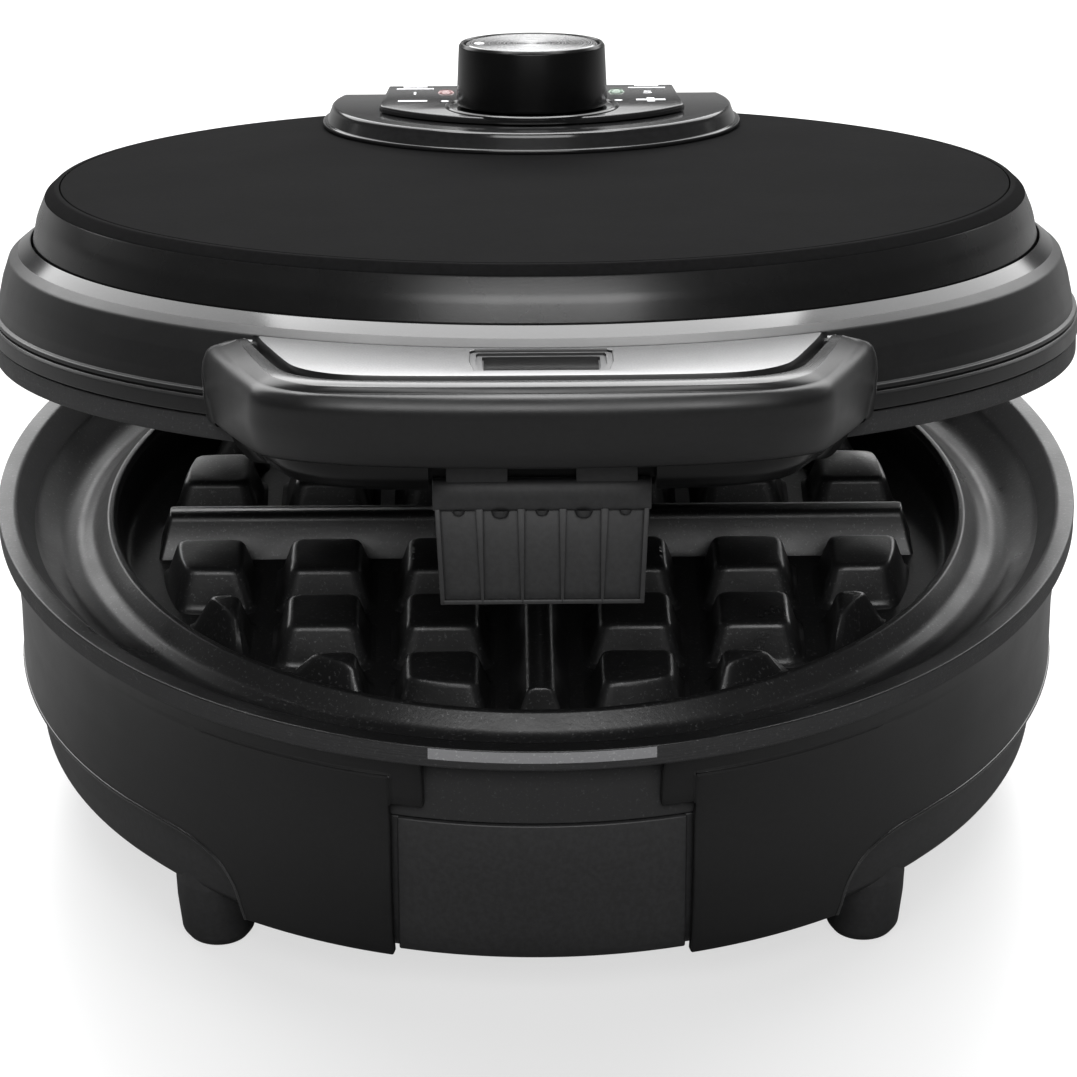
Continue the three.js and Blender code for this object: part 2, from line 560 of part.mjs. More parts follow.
function addHandle() {
  const outer = loft([
    [HANDLE_BOTTOM_H, handleOutline(66, 52, 140)],
    [6, handleOutline(66.6, 53, 142.4)],
    [13, handleOutline(66.6, 54.4, 146.6)],
    [17.6, handleOutline(65.2, 54, 147.6)],
    [20.2, handleOutline(62.4, 52.2, 146)],
    [HANDLE_TOP_H, handleOutline(60.6, 50.6, 144)],
  ]);
  const hollow = loft([
    [HANDLE_BOTTOM_H - 1, handleOutline(63.2, 49.6, 137)],
    [12, handleOutline(63.6, 51.6, 143)],
    [16.6, handleOutline(60, 50, 142)],
  ]);
  const insertPocket = plate(handleOutline(57.6, 46.6, 138.4, 0, -60), 18.8, 30);
  const ear = (x) => bar([[-128, 18], [-128, 5.4], [-120, 5.4], [-120, 18]], x, x + 2.4);
  const pinHole = rodAlongX(LATCH_PIN_RADIUS + 0.15, -26, 26, LATCH_PIVOT_Y, LATCH_PIVOT_H, 16);
  const ears = [22, -24.4].map(ear);
  const body = cut(join(cut(outer, hollow), ...ears), insertPocket, skirtRoom(), pinHole);
  add(lid, 'handle_body', body, BLACK_PLASTIC);

  const insert = loft([
    [18.8 + GAP, handleOutline(56.6, 45.6, 137.4, 0, -70)],
    [20.6, handleOutline(56.6, 45.6, 137.4, 0, -70)],
    [HANDLE_TOP_H, handleOutline(56, 45, 136.8, 0, -70)],
  ]);
  const trimPocket = plate([[-15, -115.6], [-15, -120], [-12, -134.6], [12, -134.6], [15, -120],
    [15, -115.6]], HANDLE_TOP_H - 0.9, 30);
  add(lid, 'handle_top_insert', cut(insert, skirtRoom(), trimPocket), GLOSS_PLASTIC);

  const step = (shrink, low, high) => plate([[-14.4 + shrink, -116.2 - shrink], [-14.4 + shrink, -120],
    [-11.6 + shrink, -134 + shrink], [11.6 - shrink, -134 + shrink], [14.4 - shrink, -120],
    [14.4 - shrink, -116.2 - shrink]], low, high);
  const trimLow = HANDLE_TOP_H - 0.55;
  const trim = join(step(0, trimLow, trimLow + 0.9), step(1.5, trimLow, trimLow + 1.6),
    step(3, trimLow, trimLow + 2.3));
  add(lid, 'handle_trim', trim, GLOSS_PLASTIC);

  // The under cover closes the handle from below and is open at the front for the latch to swing out.
  const cover = loft([
    [-0.2, handleOutline(58, 44, 135.4, 0, -84)],
    [1.4, handleOutline(60.4, 47, 138, 0, -84)],
    [HANDLE_BOTTOM_H - GAP, handleOutline(61.4, 48.6, 139, 0, -84)],
  ]);
  const latchSlot = box(-LATCH_HALF_WIDTH - 0.6, LATCH_HALF_WIDTH + 0.6, -145, -119.3, -3, 6);
  const rimClear = revolve([[0, -10], [117.5, -10], [117.5, 10], [0, 10]]);
  add(lid, 'handle_under_cover', cut(cover, latchSlot, rimClear), MATTE_PLASTIC);
  const pin = rodAlongX(LATCH_PIN_RADIUS, -24.2, 24.2, 0, 0, 16);
  add(lid, 'latch_pin', pin, STEEL, 0, LATCH_PIVOT_Y, LATCH_PIVOT_H);
}

// ---------------------------------------------------------------- latch

function addLatch() {
  const width = LATCH_HALF_WIDTH;
  const back = LATCH_FRONT_Y + 3.2;
  const neck = bar([[LATCH_FRONT_Y + 0.6, -3], [back, -3], [back, 3.6], [-121.4, 9], [-125, 9],
    [-125, 6.4], [LATCH_FRONT_Y + 0.6, 3.4]], -18.6, 18.6);
  const barrel = rodAlongX(3.3, -18.6, 18.6, LATCH_PIVOT_Y, LATCH_PIVOT_H, 20);
  const band = bar([[LATCH_FRONT_Y + 0.4, -2.2], [back, -2.2], [back, -8.4], [LATCH_FRONT_Y + 0.6, -8.4],
    [LATCH_FRONT_Y, -6.8], [LATCH_FRONT_Y, -3.6]], -width, width);
  const sheet = loft([
    [LATCH_BOTTOM_H, [[-19.8, back], [-19.8, back - 1.4], [19.8, back - 1.4], [19.8, back]]],
    [-8, [[-20.8, back], [-20.8, back - 1.4], [20.8, back - 1.4], [20.8, back]]],
  ]);

  // Six ribs stand on the sheet and thicken towards their tops, making five bays between them.
  const ribSection = (x, half) => [[x - half, back - 0.5], [x - half, LATCH_FRONT_Y + 0.5],
    [x + half, LATCH_FRONT_Y + 0.5], [x + half, back - 0.5]];
  const ribs = [-1, -0.6, -0.2, 0.2, 0.6, 1].map((share) => loft([
    [LATCH_BOTTOM_H, ribSection(19.3 * share, 0.4)],
    [-8, ribSection(20.3 * share, 0.6)],
  ]));
  const foot = bar([[back, LATCH_BOTTOM_H], [LATCH_FRONT_Y + 0.5, LATCH_BOTTOM_H],
    [LATCH_FRONT_Y + 0.5, LATCH_BOTTOM_H + 1], [back, LATCH_BOTTOM_H + 1]], -19.8, 19.8);
  const hook = bar([[back - 1, -5.7], [-114.4, -5.7], [-114.4, -7], [back, -13.4], [back - 1, -13.4]],
    -17, 17);
  const springWindow = box(-6.4, 6.4, -130, -119, 4.2, 14);
  const pinHole = rodAlongX(LATCH_PIN_RADIUS + 0.25, -26, 26, LATCH_PIVOT_Y, LATCH_PIVOT_H, 16);
  const body = cut(join(neck, barrel, band, sheet, ...ribs, foot, hook), springWindow, pinHole);
  add(lid, 'latch', body, MATTE_PLASTIC);
}

// The torsion spring's coils around the latch pin.
class CoilCurve extends THREE.Curve {
  getPoint(t) {
    const turns = 5;
    const angle = 2 * Math.PI * turns * t;
    return new THREE.Vector3(-5 + 10 * t, 2.6 * Math.cos(angle), 2.6 * Math.sin(angle));
  }
}

function addLatchSpring() {
  add(lid, 'latch_spring', wire(new CoilCurve(), 0.5, 45, 5), STEEL, 0, LATCH_PIVOT_Y, LATCH_PIVOT_H);
}

addHousing();
addDrum();
addFeet();
addBaseFittings();
addLowerPlate();
addHeaters();
addUpperPlate();
addLidSkirt();
addLidCover();
addControls();
addThermostat();
addKnob();
addHandle();
addLatch();
addLatchSpring();

export default machine;
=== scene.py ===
"""Looks for a round waffle maker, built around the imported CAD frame.

Pieces are drawn in millimetres about the centre of the rim plane, where the two cooking plates meet,
with the front at -Y. Lid pieces are drawn with the lid closed and placed by the lid's hinge.
"""
import json
import math

import bmesh
import bpy
from mathutils import Matrix, Vector


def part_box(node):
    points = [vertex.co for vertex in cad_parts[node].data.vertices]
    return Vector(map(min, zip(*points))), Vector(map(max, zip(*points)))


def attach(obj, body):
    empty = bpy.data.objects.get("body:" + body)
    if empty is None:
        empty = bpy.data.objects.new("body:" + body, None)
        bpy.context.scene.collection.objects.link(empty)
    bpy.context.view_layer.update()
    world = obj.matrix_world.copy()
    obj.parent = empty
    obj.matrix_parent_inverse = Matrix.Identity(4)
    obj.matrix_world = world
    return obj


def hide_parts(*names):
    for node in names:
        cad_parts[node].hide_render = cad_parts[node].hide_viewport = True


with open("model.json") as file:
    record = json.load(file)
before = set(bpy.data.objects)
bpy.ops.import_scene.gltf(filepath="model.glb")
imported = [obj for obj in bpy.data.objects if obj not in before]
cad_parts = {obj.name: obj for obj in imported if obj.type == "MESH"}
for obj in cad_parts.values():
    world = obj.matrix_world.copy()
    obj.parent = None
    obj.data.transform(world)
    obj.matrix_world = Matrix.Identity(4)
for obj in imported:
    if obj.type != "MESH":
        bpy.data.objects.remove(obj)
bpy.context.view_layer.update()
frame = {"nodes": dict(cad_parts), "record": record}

MM = 0.001

# -------------------- frame of reference

plate_low, plate_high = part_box("lower_cooking_plate")
RIM_R = (plate_high[0] - plate_low[0]) / 2 / MM
CENTRE_Y = (plate_low[1] + plate_high[1]) / 2 / MM
RIM_Z = plate_high[2] / MM
JOINTS = {joint["name"]: joint for joint in frame["record"]["behaviour"]["joints"]}
LID_OPEN = math.radians(-JOINTS["lid_hinge"]["range_deg"][0])
HINGE_Y = JOINTS["lid_hinge"]["pos_m"][1] / MM - CENTRE_Y

TO_METRES = Matrix.Scale(MM, 4)
BASE = TO_METRES @ Matrix.Translation((0, CENTRE_Y, RIM_Z))
SWING = (
    Matrix.Translation((0, HINGE_Y, 0))
    @ Matrix.Rotation(-LID_OPEN, 4, "X")
    @ Matrix.Translation((0, -HINGE_Y, 0))
)
LID = BASE @ SWING


def in_lid(world):
    """A world position in metres, in the closed lid's millimetres."""
    return LID.inverted() @ Vector(world)


DIAL_Y = in_lid(JOINTS["knob_turn"]["pos_m"])[1]
PIVOT = in_lid(JOINTS["latch_pivot"]["pos_m"])
PLACES = {"base": BASE, "lid": LID, "latch": LID, "knob": LID @ Matrix.Translation((0, DIAL_Y, 0))}

# -------------------- mesh helpers


def polygon_area(points):
    """Area inside a closed outline, positive if it runs anticlockwise."""
    pairs = zip(points, points[1:] + points[:1])
    return sum(a[0] * b[1] - b[0] * a[1] for a, b in pairs) / 2


def arc(radius, centre_y, start, end, steps):
    """Points on a circle about (0, centre_y)."""
    turn = (end - start) / steps
    return [(radius * math.cos(start + turn * i), centre_y + radius * math.sin(start + turn * i))
            for i in range(steps + 1)]


def circle(x, y, radius, count):
    """Evenly spaced points round (x, y)."""
    turns = [2 * math.pi * k / count for k in range(count)]
    return [(x + radius * math.cos(turn), y + radius * math.sin(turn)) for turn in turns]


def interpolated(table, key):
    """The value at a key in a rising or falling table of (key, value) rows."""
    for (k0, v0), (k1, v1) in zip(table, table[1:]):
        if min(k0, k1) <= key <= max(k0, k1):
            return v0 + (v1 - v0) * (key - k0) / (k1 - k0)
    return table[-1][1]


def filleted(corners, arc_steps=5):
    """A closed outline of (x, y, radius) corners, with every corner rounded to its radius."""
    outline = []
    count = len(corners)
    for i, (x, y, radius) in enumerate(corners):
        here = Vector((x, y))
        back = Vector(corners[i - 1][:2]) - here
        ahead = Vector(corners[(i + 1) % count][:2]) - here
        turn = back.angle(ahead, math.pi)
        if radius <= 0 or turn > math.pi - 0.02 or min(back.length, ahead.length) < 1e-6:
            outline.append((x, y))
            continue
        reach = min(radius / math.tan(turn / 2), back.length * 0.49, ahead.length * 0.49)
        start = here + back.normalized() * reach
        end = here + ahead.normalized() * reach
        for k in range(arc_steps + 1):
            t = k / arc_steps
            point = start * (1 - t) ** 2 + here * 2 * t * (1 - t) + end * t ** 2
            outline.append((point.x, point.y))
    return outline


def lathe(outline, steps=160):
    """A solid of revolution about Z from a closed (r, z) outline; points at r = 0 lie on the axis."""
    if polygon_area(outline) < 0:
        outline = outline[::-1]
    vertices, rings = [], []
    for r, z in outline:
        first = len(vertices)
        if r < 1e-6:
            vertices.append((0, 0, z))
            rings.append([first] * steps)
        else:
            vertices += [(x, y, z) for x, y in circle(0, 0, r, steps)]
            rings.append(list(range(first, first + steps)))
    lengths = [0.0]
    for (r0, z0), (r1, z1) in zip(outline, outline[1:] + outline[:1]):
        lengths.append(lengths[-1] + math.hypot(r1 - r0, z1 - z0))
    faces, uvs = [], []
    mean_r = max(r for r, _ in outline) * MM
    for k in range(len(outline)):
        low, high = rings[k], rings[(k + 1) % len(outline)]
        if low[0] == low[1] and high[0] == high[1]:
            continue
        for j in range(steps):
            after = (j + 1) % steps
            corners = [(low[j], j, k), (low[after], j + 1, k),
                       (high[after], j + 1, k + 1), (high[j], j, k + 1)]
            kept, seen = [], set()
            for corner in corners:
                if corner[0] not in seen:
                    seen.add(corner[0])
                    kept.append(corner)
            faces.append([corner[0] for corner in kept])
            uvs.append([(2 * math.pi * mean_r * u / steps, lengths[v] * MM) for _, u, v in kept])
    return vertices, faces, uvs


def stack(rings):
    """A solid from closed rings of 3-D points, with the first and last ring capped."""
    count = len(rings[0])
    vertices = [point for ring in rings for point in ring]
    faces = []
    for k in range(len(rings) - 1):
        for j in range(count):
            after = (j + 1) % count
            faces.append([k * count + j, k * count + after, (k + 1) * count + after, (k + 1) * count + j])
    faces.append(list(range(count))[::-1])
    faces.append([(len(rings) - 1) * count + j for j in range(count)])
    return vertices, faces, None


def slab(outline_at, low, high, low_round, high_round, steps=4):
    """A plate between two heights. outline_at(inset) gives its outline, drawn in at rounded edges."""
    turns = [math.pi / 2 * k / steps for k in range(steps + 1)]
    levels = [(low_round * (1 - math.sin(turn)), low + low_round * (1 - math.cos(turn))) for turn in turns]
    levels += [(high_round * (1 - math.cos(turn)), high - high_round * (1 - math.sin(turn)))
               for turn in turns]
    return stack([[(x, y, z) for x, y in outline_at(inset)] for inset, z in levels])


def chamfered(part, width, segments=2, angle=0.5):
    """The part with its sharp edges rounded."""
    vertices, faces, _ = part
    mesh = bmesh.new()
    made = [mesh.verts.new(v) for v in vertices]
    for face in faces:
        mesh.faces.new([made[i] for i in face])
    bmesh.ops.recalc_face_normals(mesh, faces=mesh.faces)
    sharp = [e for e in mesh.edges if len(e.link_faces) == 2 and e.calc_face_angle() > angle]
    bmesh.ops.bevel(
        mesh, geom=sharp, offset=width, segments=segments, profile=0.5, affect="EDGES", clamp_overlap=True
    )
    mesh.verts.index_update()
    result = ([tuple(v.co) for v in mesh.verts], [[v.index for v in f.verts] for f in mesh.faces], None)
    mesh.free()
    return result


def prism(outline, low, high):
    """An upright solid with an (x, y) outline."""
    return stack([[(x, y, low) for x, y in outline], [(x, y, high) for x, y in outline]])


def along_x(outline, x0, x1):
    """A prism whose (y, z) outline runs along X."""
    vertices, faces, uvs = prism(outline, x0, x1)
    return [(z, x, y) for x, y, z in vertices], faces, uvs


def moved(part, x=0.0, y=0.0, z=0.0):
    """The part shifted along the axes."""
    vertices, faces, uvs = part
    return [(vx + x, vy + y, vz + z) for vx, vy, vz in vertices], faces, uvs


def merged(parts):
    """Several parts as one; each stays a closed body of its own."""
    vertices, faces = [], []
    for part_vertices, part_faces, _ in parts:
        shift = len(vertices)
        vertices += part_vertices
        faces += [[i + shift for i in face] for face in part_faces]
    return vertices, faces, None


def placed(name, data):
    """A new object in the scene."""
    made = bpy.data.objects.new(name, data)
    bpy.context.scene.collection.objects.link(made)
    return made


def piece(name, part, body, looks, stands_for=(), look_of=None, sharp=0.6):
    """Makes an object from a part. look_of(centre, normal) picks the index of a face's material."""
    vertices, faces, uvs = part
    mesh = bpy.data.meshes.new(name)
    mesh.from_pydata([Vector(v) for v in vertices], [], faces)
    if uvs:
        layer = mesh.uv_layers.new(name="UVMap")
        flat = [corner for face in uvs for corner in face]
        for loop, uv in zip(layer.data, flat):
            loop.uv = uv
    editable = bmesh.new()
    editable.from_mesh(mesh)
    caps = [face for face in editable.faces if len(face.verts) > 8]
    bmesh.ops.triangulate(editable, faces=caps, ngon_method="EAR_CLIP")
    bmesh.ops.recalc_face_normals(editable, faces=editable.faces)
    for edge in editable.edges:
        edge.smooth = not (len(edge.link_faces) == 2 and edge.calc_face_angle() > sharp)
    for face in editable.faces:
        face.smooth = True
        if look_of:
            face.material_index = look_of(face.calc_center_median(), face.normal)
    editable.to_mesh(mesh)
    editable.free()
    mesh.transform(PLACES[body])
    made = placed(name, mesh)
    for look in looks if isinstance(looks, (list, tuple)) else [looks]:
        mesh.materials.append(look)
    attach(made, body)
    if stands_for:
        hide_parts(*stands_for)
    return made


# -------------------- materials


def fill(node, **values):
    """Sets a node's inputs; an underscore in a name stands for a space."""
    for key, value in values.items():
        node.inputs[key.replace("_", " ")].default_value = value
    return node


class Look:
    """A Principled material with helpers for procedural detail."""

    def __init__(self, name, colour, roughness, metallic=0.0, **sockets):
        self.material = bpy.data.materials.new(name)
        self.material.use_nodes = True
        self.nodes = self.material.node_tree.nodes
        self.links = self.material.node_tree.links
        self.shader = fill(self.nodes["Principled BSDF"], Base_Color=(*colour, 1), Roughness=roughness,
                           Metallic=metallic, **sockets)
        self.colour = colour
        self.coordinates = self.nodes.new("ShaderNodeTexCoord")
        self.height = None

    def noise(self, scale, detail=3.0, roughness=0.6, stretch=None, space="Object"):
        texture = fill(self.nodes.new("ShaderNodeTexNoise"), Scale=scale, Detail=detail, Roughness=roughness)
        source = self.coordinates.outputs[space]
        if stretch:
            mapping = fill(self.nodes.new("ShaderNodeMapping"), Scale=stretch)
            self.links.new(source, mapping.inputs["Vector"])
            source = mapping.outputs["Vector"]
        self.links.new(source, texture.inputs["Vector"])
        return texture.outputs["Fac"]

    def ramp(self, source, low, high, start=0.3, end=0.7):
        node = fill(self.nodes.new("ShaderNodeMapRange"), From_Min=start, From_Max=end, To_Min=low,
                    To_Max=high)
        self.links.new(source, node.inputs["Value"])
        return node.outputs["Result"]

    def vary_roughness(self, source, low, high):
        self.links.new(self.ramp(source, low, high), self.shader.inputs["Roughness"])

    def vary_colour(self, source, other, start=0.35, end=0.65):
        mix = self.nodes.new("ShaderNodeMix")
        mix.data_type = "RGBA"
        fill(mix, A=(*self.colour, 1), B=(*other, 1))
        self.links.new(self.ramp(source, 0, 1, start, end), mix.inputs["Factor"])
        self.links.new(mix.outputs["Result"], self.shader.inputs["Base Color"])

    def bump(self, source, distance, strength=1.0):
        node = fill(self.nodes.new("ShaderNodeBump"), Distance=distance, Strength=strength)
        self.links.new(source, node.inputs["Height"])
        if self.height:
            self.links.new(self.height, node.inputs["Normal"])
        self.height = node.outputs["Normal"]
        self.links.new(self.height, self.shader.inputs["Normal"])


def moulded(name, grey, roughness, grain=2600, depth=0.00002, spread=0.05, specular=0.5):
    """Moulded plastic: a fine spark-eroded grain, and faint smudges that shift the gloss."""
    look = Look(name, (grey, grey, grey * 1.02), roughness, Specular_IOR_Level=specular)
    look.vary_roughness(look.noise(38, 4), roughness - spread, roughness + spread)
    look.vary_colour(look.noise(900, 2), (grey * 1.35, grey * 1.35, grey * 1.4))
    look.bump(look.noise(grain, 2), depth, 0.5)
    return look.material


def cast_coating(name, grey, roughness, speck, depth, streaks=False):
    """A non-stick coat over a casting: pimpled, with light specks; the bare edge is drawn along."""
    look = Look(name, (grey, grey, grey * 1.03), roughness, metallic=0.15)
    specks = look.noise(1500, 2, 0.7)
    look.vary_colour(specks, (speck, speck, speck * 1.02), 0.6, 0.78)
    look.vary_roughness(look.noise(60, 3), roughness - 0.07, roughness + 0.08)
    look.bump(look.noise(1100, 3), depth, 0.6)
    if streaks:
        look.bump(look.noise(260, 4, 0.7, (0.25, 5.0, 1.0), "UV"), depth * 3, 0.7)
    return look.material


def metal(name, grey, roughness, stretch=(1, 1, 1), space="Object", scale=500, anisotropy=0.0):
    """Bare metal, with brushing or turning lines drawn out along one direction."""
    look = Look(name, (grey, grey, grey * 1.01), roughness, metallic=1.0, Anisotropic=anisotropy,
                Anisotropic_Rotation=0.25 if anisotropy else 0.0)
    lines = look.noise(scale, 3, 0.6, stretch, space)
    look.vary_roughness(lines, roughness - 0.08, roughness + 0.1)
    look.bump(lines, 0.000012, 0.6)
    return look.material


def lens(name, colour):
    """A tinted clear plastic lens with a faintly uneven face."""
    look = Look(name, colour, 0.12, Transmission_Weight=0.35, IOR=1.49, Coat_Weight=0.5)
    look.vary_roughness(look.noise(500), 0.08, 0.2)
    look.bump(look.noise(700), 0.00002, 0.3)
    return look.material


SATIN = moulded("satin_black", 0.006, 0.36)
DOME = moulded("dome_black", 0.003, 0.27, depth=0.00002)
MATTE = moulded("matte_black", 0.019, 0.5, depth=0.00003)
TOP = moulded("top_panel_black", 0.0036, 0.7, depth=0.00002, spread=0.02, specular=0.01)
PANEL = moulded("panel_black", 0.021, 0.46)
GLOSS = moulded("gloss_black", 0.008, 0.14, depth=0.000004, spread=0.03)
LEDGE = moulded("ledge_gloss_black", 0.009, 0.12, depth=0.000003, spread=0.02)
COATING = cast_coating("nonstick_coating", 0.014, 0.34, 0.10, 0.00005)
CAST_EDGE = cast_coating("cast_edge", 0.030, 0.58, 0.085, 0.00009, streaks=True)
CAST_SKIRT = cast_coating("cast_skirt", 0.027, 0.62, 0.07, 0.00007)
BARE_EDGE = cast_coating("bare_cast_edge", 0.30, 0.5, 0.55, 0.0001)
STEEL = metal("steel", 0.55, 0.3, (1, 1, 12))
SHEET = metal("tinned_sheet", 0.62, 0.26, (1, 14, 1))
SPUN = metal("spun_aluminium", 0.5, 0.24, (0.02, 30, 1), "UV", 120, anisotropy=0.75)
RUBBER = moulded("rubber_black", 0.012, 0.82, 1800, 0.00006)
CREAM = moulded("cream_plastic", 0.55, 0.5)
PHENOLIC = moulded("brown_phenolic", 0.06, 0.4)
# Near-black for the knob and the handle's trim; on the cover under the handle it also serves as painted
# shade.
KNOB_BLACK = moulded("knob_black", 0.002, 0.24, depth=0.000006, specular=0.3)
RIM_GLOSS = moulded("handle_rim_black", 0.010, 0.24, depth=0.000006, spread=0.03, specular=0.9)
INSERT = metal("graphite_insert", 0.23, 0.44, (1, 1, 1), scale=2600)
RED_LENS = lens("red_lens", (0.16, 0.008, 0.006))
GREEN_LENS = lens("green_lens", (0.01, 0.09, 0.025))
PRINT = moulded("white_print", 0.62, 0.55)

# -------------------- cooking plates

CAVITY_R = 90.0
PEG_FIRST, PEG_PITCH, PEG_HEIGHT = 20.3, 25.2, 9.0
PEG_RING_R = 83.0
DISH_STEPS = 288


def peg_ring(x, y, half, corner, ring_r, height, inside, samples=56):
    """A rounded square about (x, y) blended with the round cavity, seen from a point inside both."""
    core, blend = half - corner, 1.6
    ring = []
    for k in range(samples):
        way = Vector((math.cos(2 * math.pi * k / samples), math.sin(2 * math.pi * k / samples)))
        low, high = 0.0, 40.0
        for _ in range(22):
            middle = (low + high) / 2
            point = inside + way * middle
            dx, dy = abs(point.x - x) - core, abs(point.y - y) - core
            square = math.hypot(max(dx, 0), max(dy, 0)) + min(max(dx, dy), 0) - corner
            cavity = point.length - ring_r
            outside = (square + cavity + math.hypot(square - cavity, blend)) / 2
            low, high = (low, middle) if outside > 0 else (middle, high)
        point = inside + way * low
        ring.append((point.x, point.y, height))
    return ring


def peg(x, y, direction=1):
    """One square peg with drawn sides, a flared root and a rounded top."""
    levels = [(-0.6, 11.4, 3.0), (0.05, 11.0, 3.2), (0.35, 10.4, 3.0), (0.9, 9.9, 2.8), (1.8, 9.55, 2.6),
              (PEG_HEIGHT - 1.3, 7.75, 2.2), (PEG_HEIGHT - 0.6, 7.4, 2.1), (PEG_HEIGHT - 0.15, 6.8, 1.9),
              (PEG_HEIGHT, 6.1, 1.7)]
    top_half = levels[-1][1]
    inside = Vector((x, y))
    while inside.length > PEG_RING_R - 6:
        inside -= Vector((math.copysign(0.1, x), math.copysign(0.1, y))) * top_half
    return stack([
        peg_ring(x, y, half, corner, PEG_RING_R - 0.33 * max(height, 0), direction * height, inside)
        for height, half, corner in levels
    ])


def ridge(direction=1):
    """The raised cross between the quarters of a waffle."""
    parts = []
    reach = PEG_RING_R - 0.5
    profile = [(-0.6, 6.6), (0.1, 6.2), (0.7, 5.6), (PEG_HEIGHT - 1.4, 3.1), (PEG_HEIGHT - 0.5, 2.7),
               (PEG_HEIGHT - 0.05, 1.9), (PEG_HEIGHT, 1.2)]
    for turned in (False, True):
        rings = []
        for height, half in profile:
            end = reach - 0.28 * max(height, 0)
            outline = filleted([(-end, -half, 1), (end, -half, 1), (end, half, 1), (-end, half, 1)])
            shape = [(y, x) if turned else (x, y) for x, y in outline]
            rings.append([(x, y, direction * height) for x, y in shape])
        parts.append(stack(rings))
    return parts


def pegs(direction):
    """Every peg that the round cavity leaves room for, and the ridge between them."""
    places = [side * (PEG_FIRST + i * PEG_PITCH) for i in range(3) for side in (-1, 1)]
    found = [(x, y) for x in places for y in places if math.hypot(abs(x) - 8, abs(y) - 8) < 78]
    return [peg(x, y, direction) for x, y in found] + ridge(direction)


def lower_plate():
    """The lower plate: flange, moat, lip, cavity, and the skirt that shows in the latch notch."""
    floor = -15.5
    outline = filleted([
        (0, floor, 0), (CAVITY_R, floor, 2.5), (91.4, -5.6, 1.2), (92.2, -4.5, 0.5), (93.4, -4.5, 0.8),
        (96.4, -8.2, 4), (99.6, -9.6, 4), (103.2, -9.2, 6), (108.6, -5.4, 8), (113.2, 0, 1.6),
        (RIM_R, 0, 0.5), (RIM_R, -2.8, 0), (RIM_R, -4.8, 0.8), (110.7, -5.2, 0.6), (110.7, -20.6, 0.4),
        (108.4, -20.6, 0.3), (108.4, -10, 1), (98, -12.4, 1), (93.2, floor - 3.4, 2), (0, floor - 3.4, 0),
    ], 6)
    bare_half = 23.2

    def look_of(centre, normal):
        """Coating inside, cast metal round the rim and skirt, and a bare strip over the latch notch."""
        if centre.length < RIM_R - 12 or centre.z > -0.35 or normal.z < -0.6:
            return 0
        side = Vector(centre[:2]).length
        if side > RIM_R - 0.9 and centre.z > -5.2:
            return 3 if abs(centre.x) < bare_half and centre.y < 0 and centre.z > -2.6 else 1
        return 2 if side > 110 else 0

    piece("lower_plate_dish", lathe(outline, DISH_STEPS), "base",
          [COATING, CAST_EDGE, CAST_SKIRT, BARE_EDGE], ["lower_cooking_plate"], look_of)
    piece("lower_plate_pegs", moved(merged(pegs(1)), z=floor), "base", COATING,
          ["lower_cooking_plate"], sharp=1.2)


def upper_plate():
    """The upper plate, whose cast ring shows below the lid's skirt."""
    ceiling = 11.0
    outline = filleted([
        (0, ceiling, 0), (CAVITY_R, ceiling, 2.5), (91.2, -2.2, 1), (92, -3.4, 0.6), (95.6, -3.4, 2),
        (103.6, 0.5, 3), (116.2, 0.5, 0.9), (116.2, 5.1, 0.3), (107, 5.1, 0.3), (99, 4, 1),
        (93.2, ceiling + 3.2, 2), (0, ceiling + 3.2, 0),
    ], 6)

    def look_of(centre, _):
        return 1 if Vector(centre[:2]).length > 104 else 0

    piece("upper_plate_dish", lathe(outline, DISH_STEPS), "lid", [COATING, CAST_EDGE],
          ["upper_cooking_plate"], look_of)
    piece("upper_plate_pegs", moved(merged(pegs(-1)), z=ceiling), "lid", COATING,
          ["upper_cooking_plate"], sharp=1.2)


# -------------------- base

TAB_IN_X, PANEL_HALF, WING_X = 24.3, 29.4, 30.7
NOTCH_Z, SKIRT_Z, APRON_Z = -17.2, -36.8, -53.8
TAB_ANGLE = math.degrees(math.asin(TAB_IN_X / 114))
WING_ANGLE = math.degrees(math.asin(WING_X / 113.3))
APRON_ANGLE = 33.0
HOUSING_WALL = 2.1
# Height and outer radius of the housing, from its collar down.
HOUSING = [(-5.6, 115.5), (-7, 115.0), (-9.4, 114.4), (-9.9, 114.3), (-12, 113.9), (NOTCH_Z, 113.3),
           (-22, 113), (SKIRT_Z, 113), (-50, 112.3), (APRON_Z, 111.6)]
# Angle from the front in degrees, and height, where the apron's foot rises to the skirt's.
S_CURVE = [(33.3, APRON_Z), (33.6, -51), (33.9, -48.4), (34.3, -46), (34.9, -44), (35.7, -42),
           (36.8, -40.2), (38.2, -38.8), (40, -37.7), (42, -37.1), (45, -36.85), (50, SKIRT_Z)]


def housing_columns():
    """The angle of each column of the housing's faces, and the height of its foot."""
    half = [(TAB_ANGLE, APRON_Z), ((TAB_ANGLE + WING_ANGLE) / 2, APRON_Z), (WING_ANGLE - 0.12, APRON_Z)]
    half += [(WING_ANGLE + 0.12 + (APRON_ANGLE - WING_ANGLE) * i / 14, APRON_Z) for i in range(15)]
    half += S_CURVE + [(50 + 130 * i / 60, SKIRT_Z) for i in range(1, 61)]
    return half + [(360 - angle, low) for angle, low in half[-2::-1]]


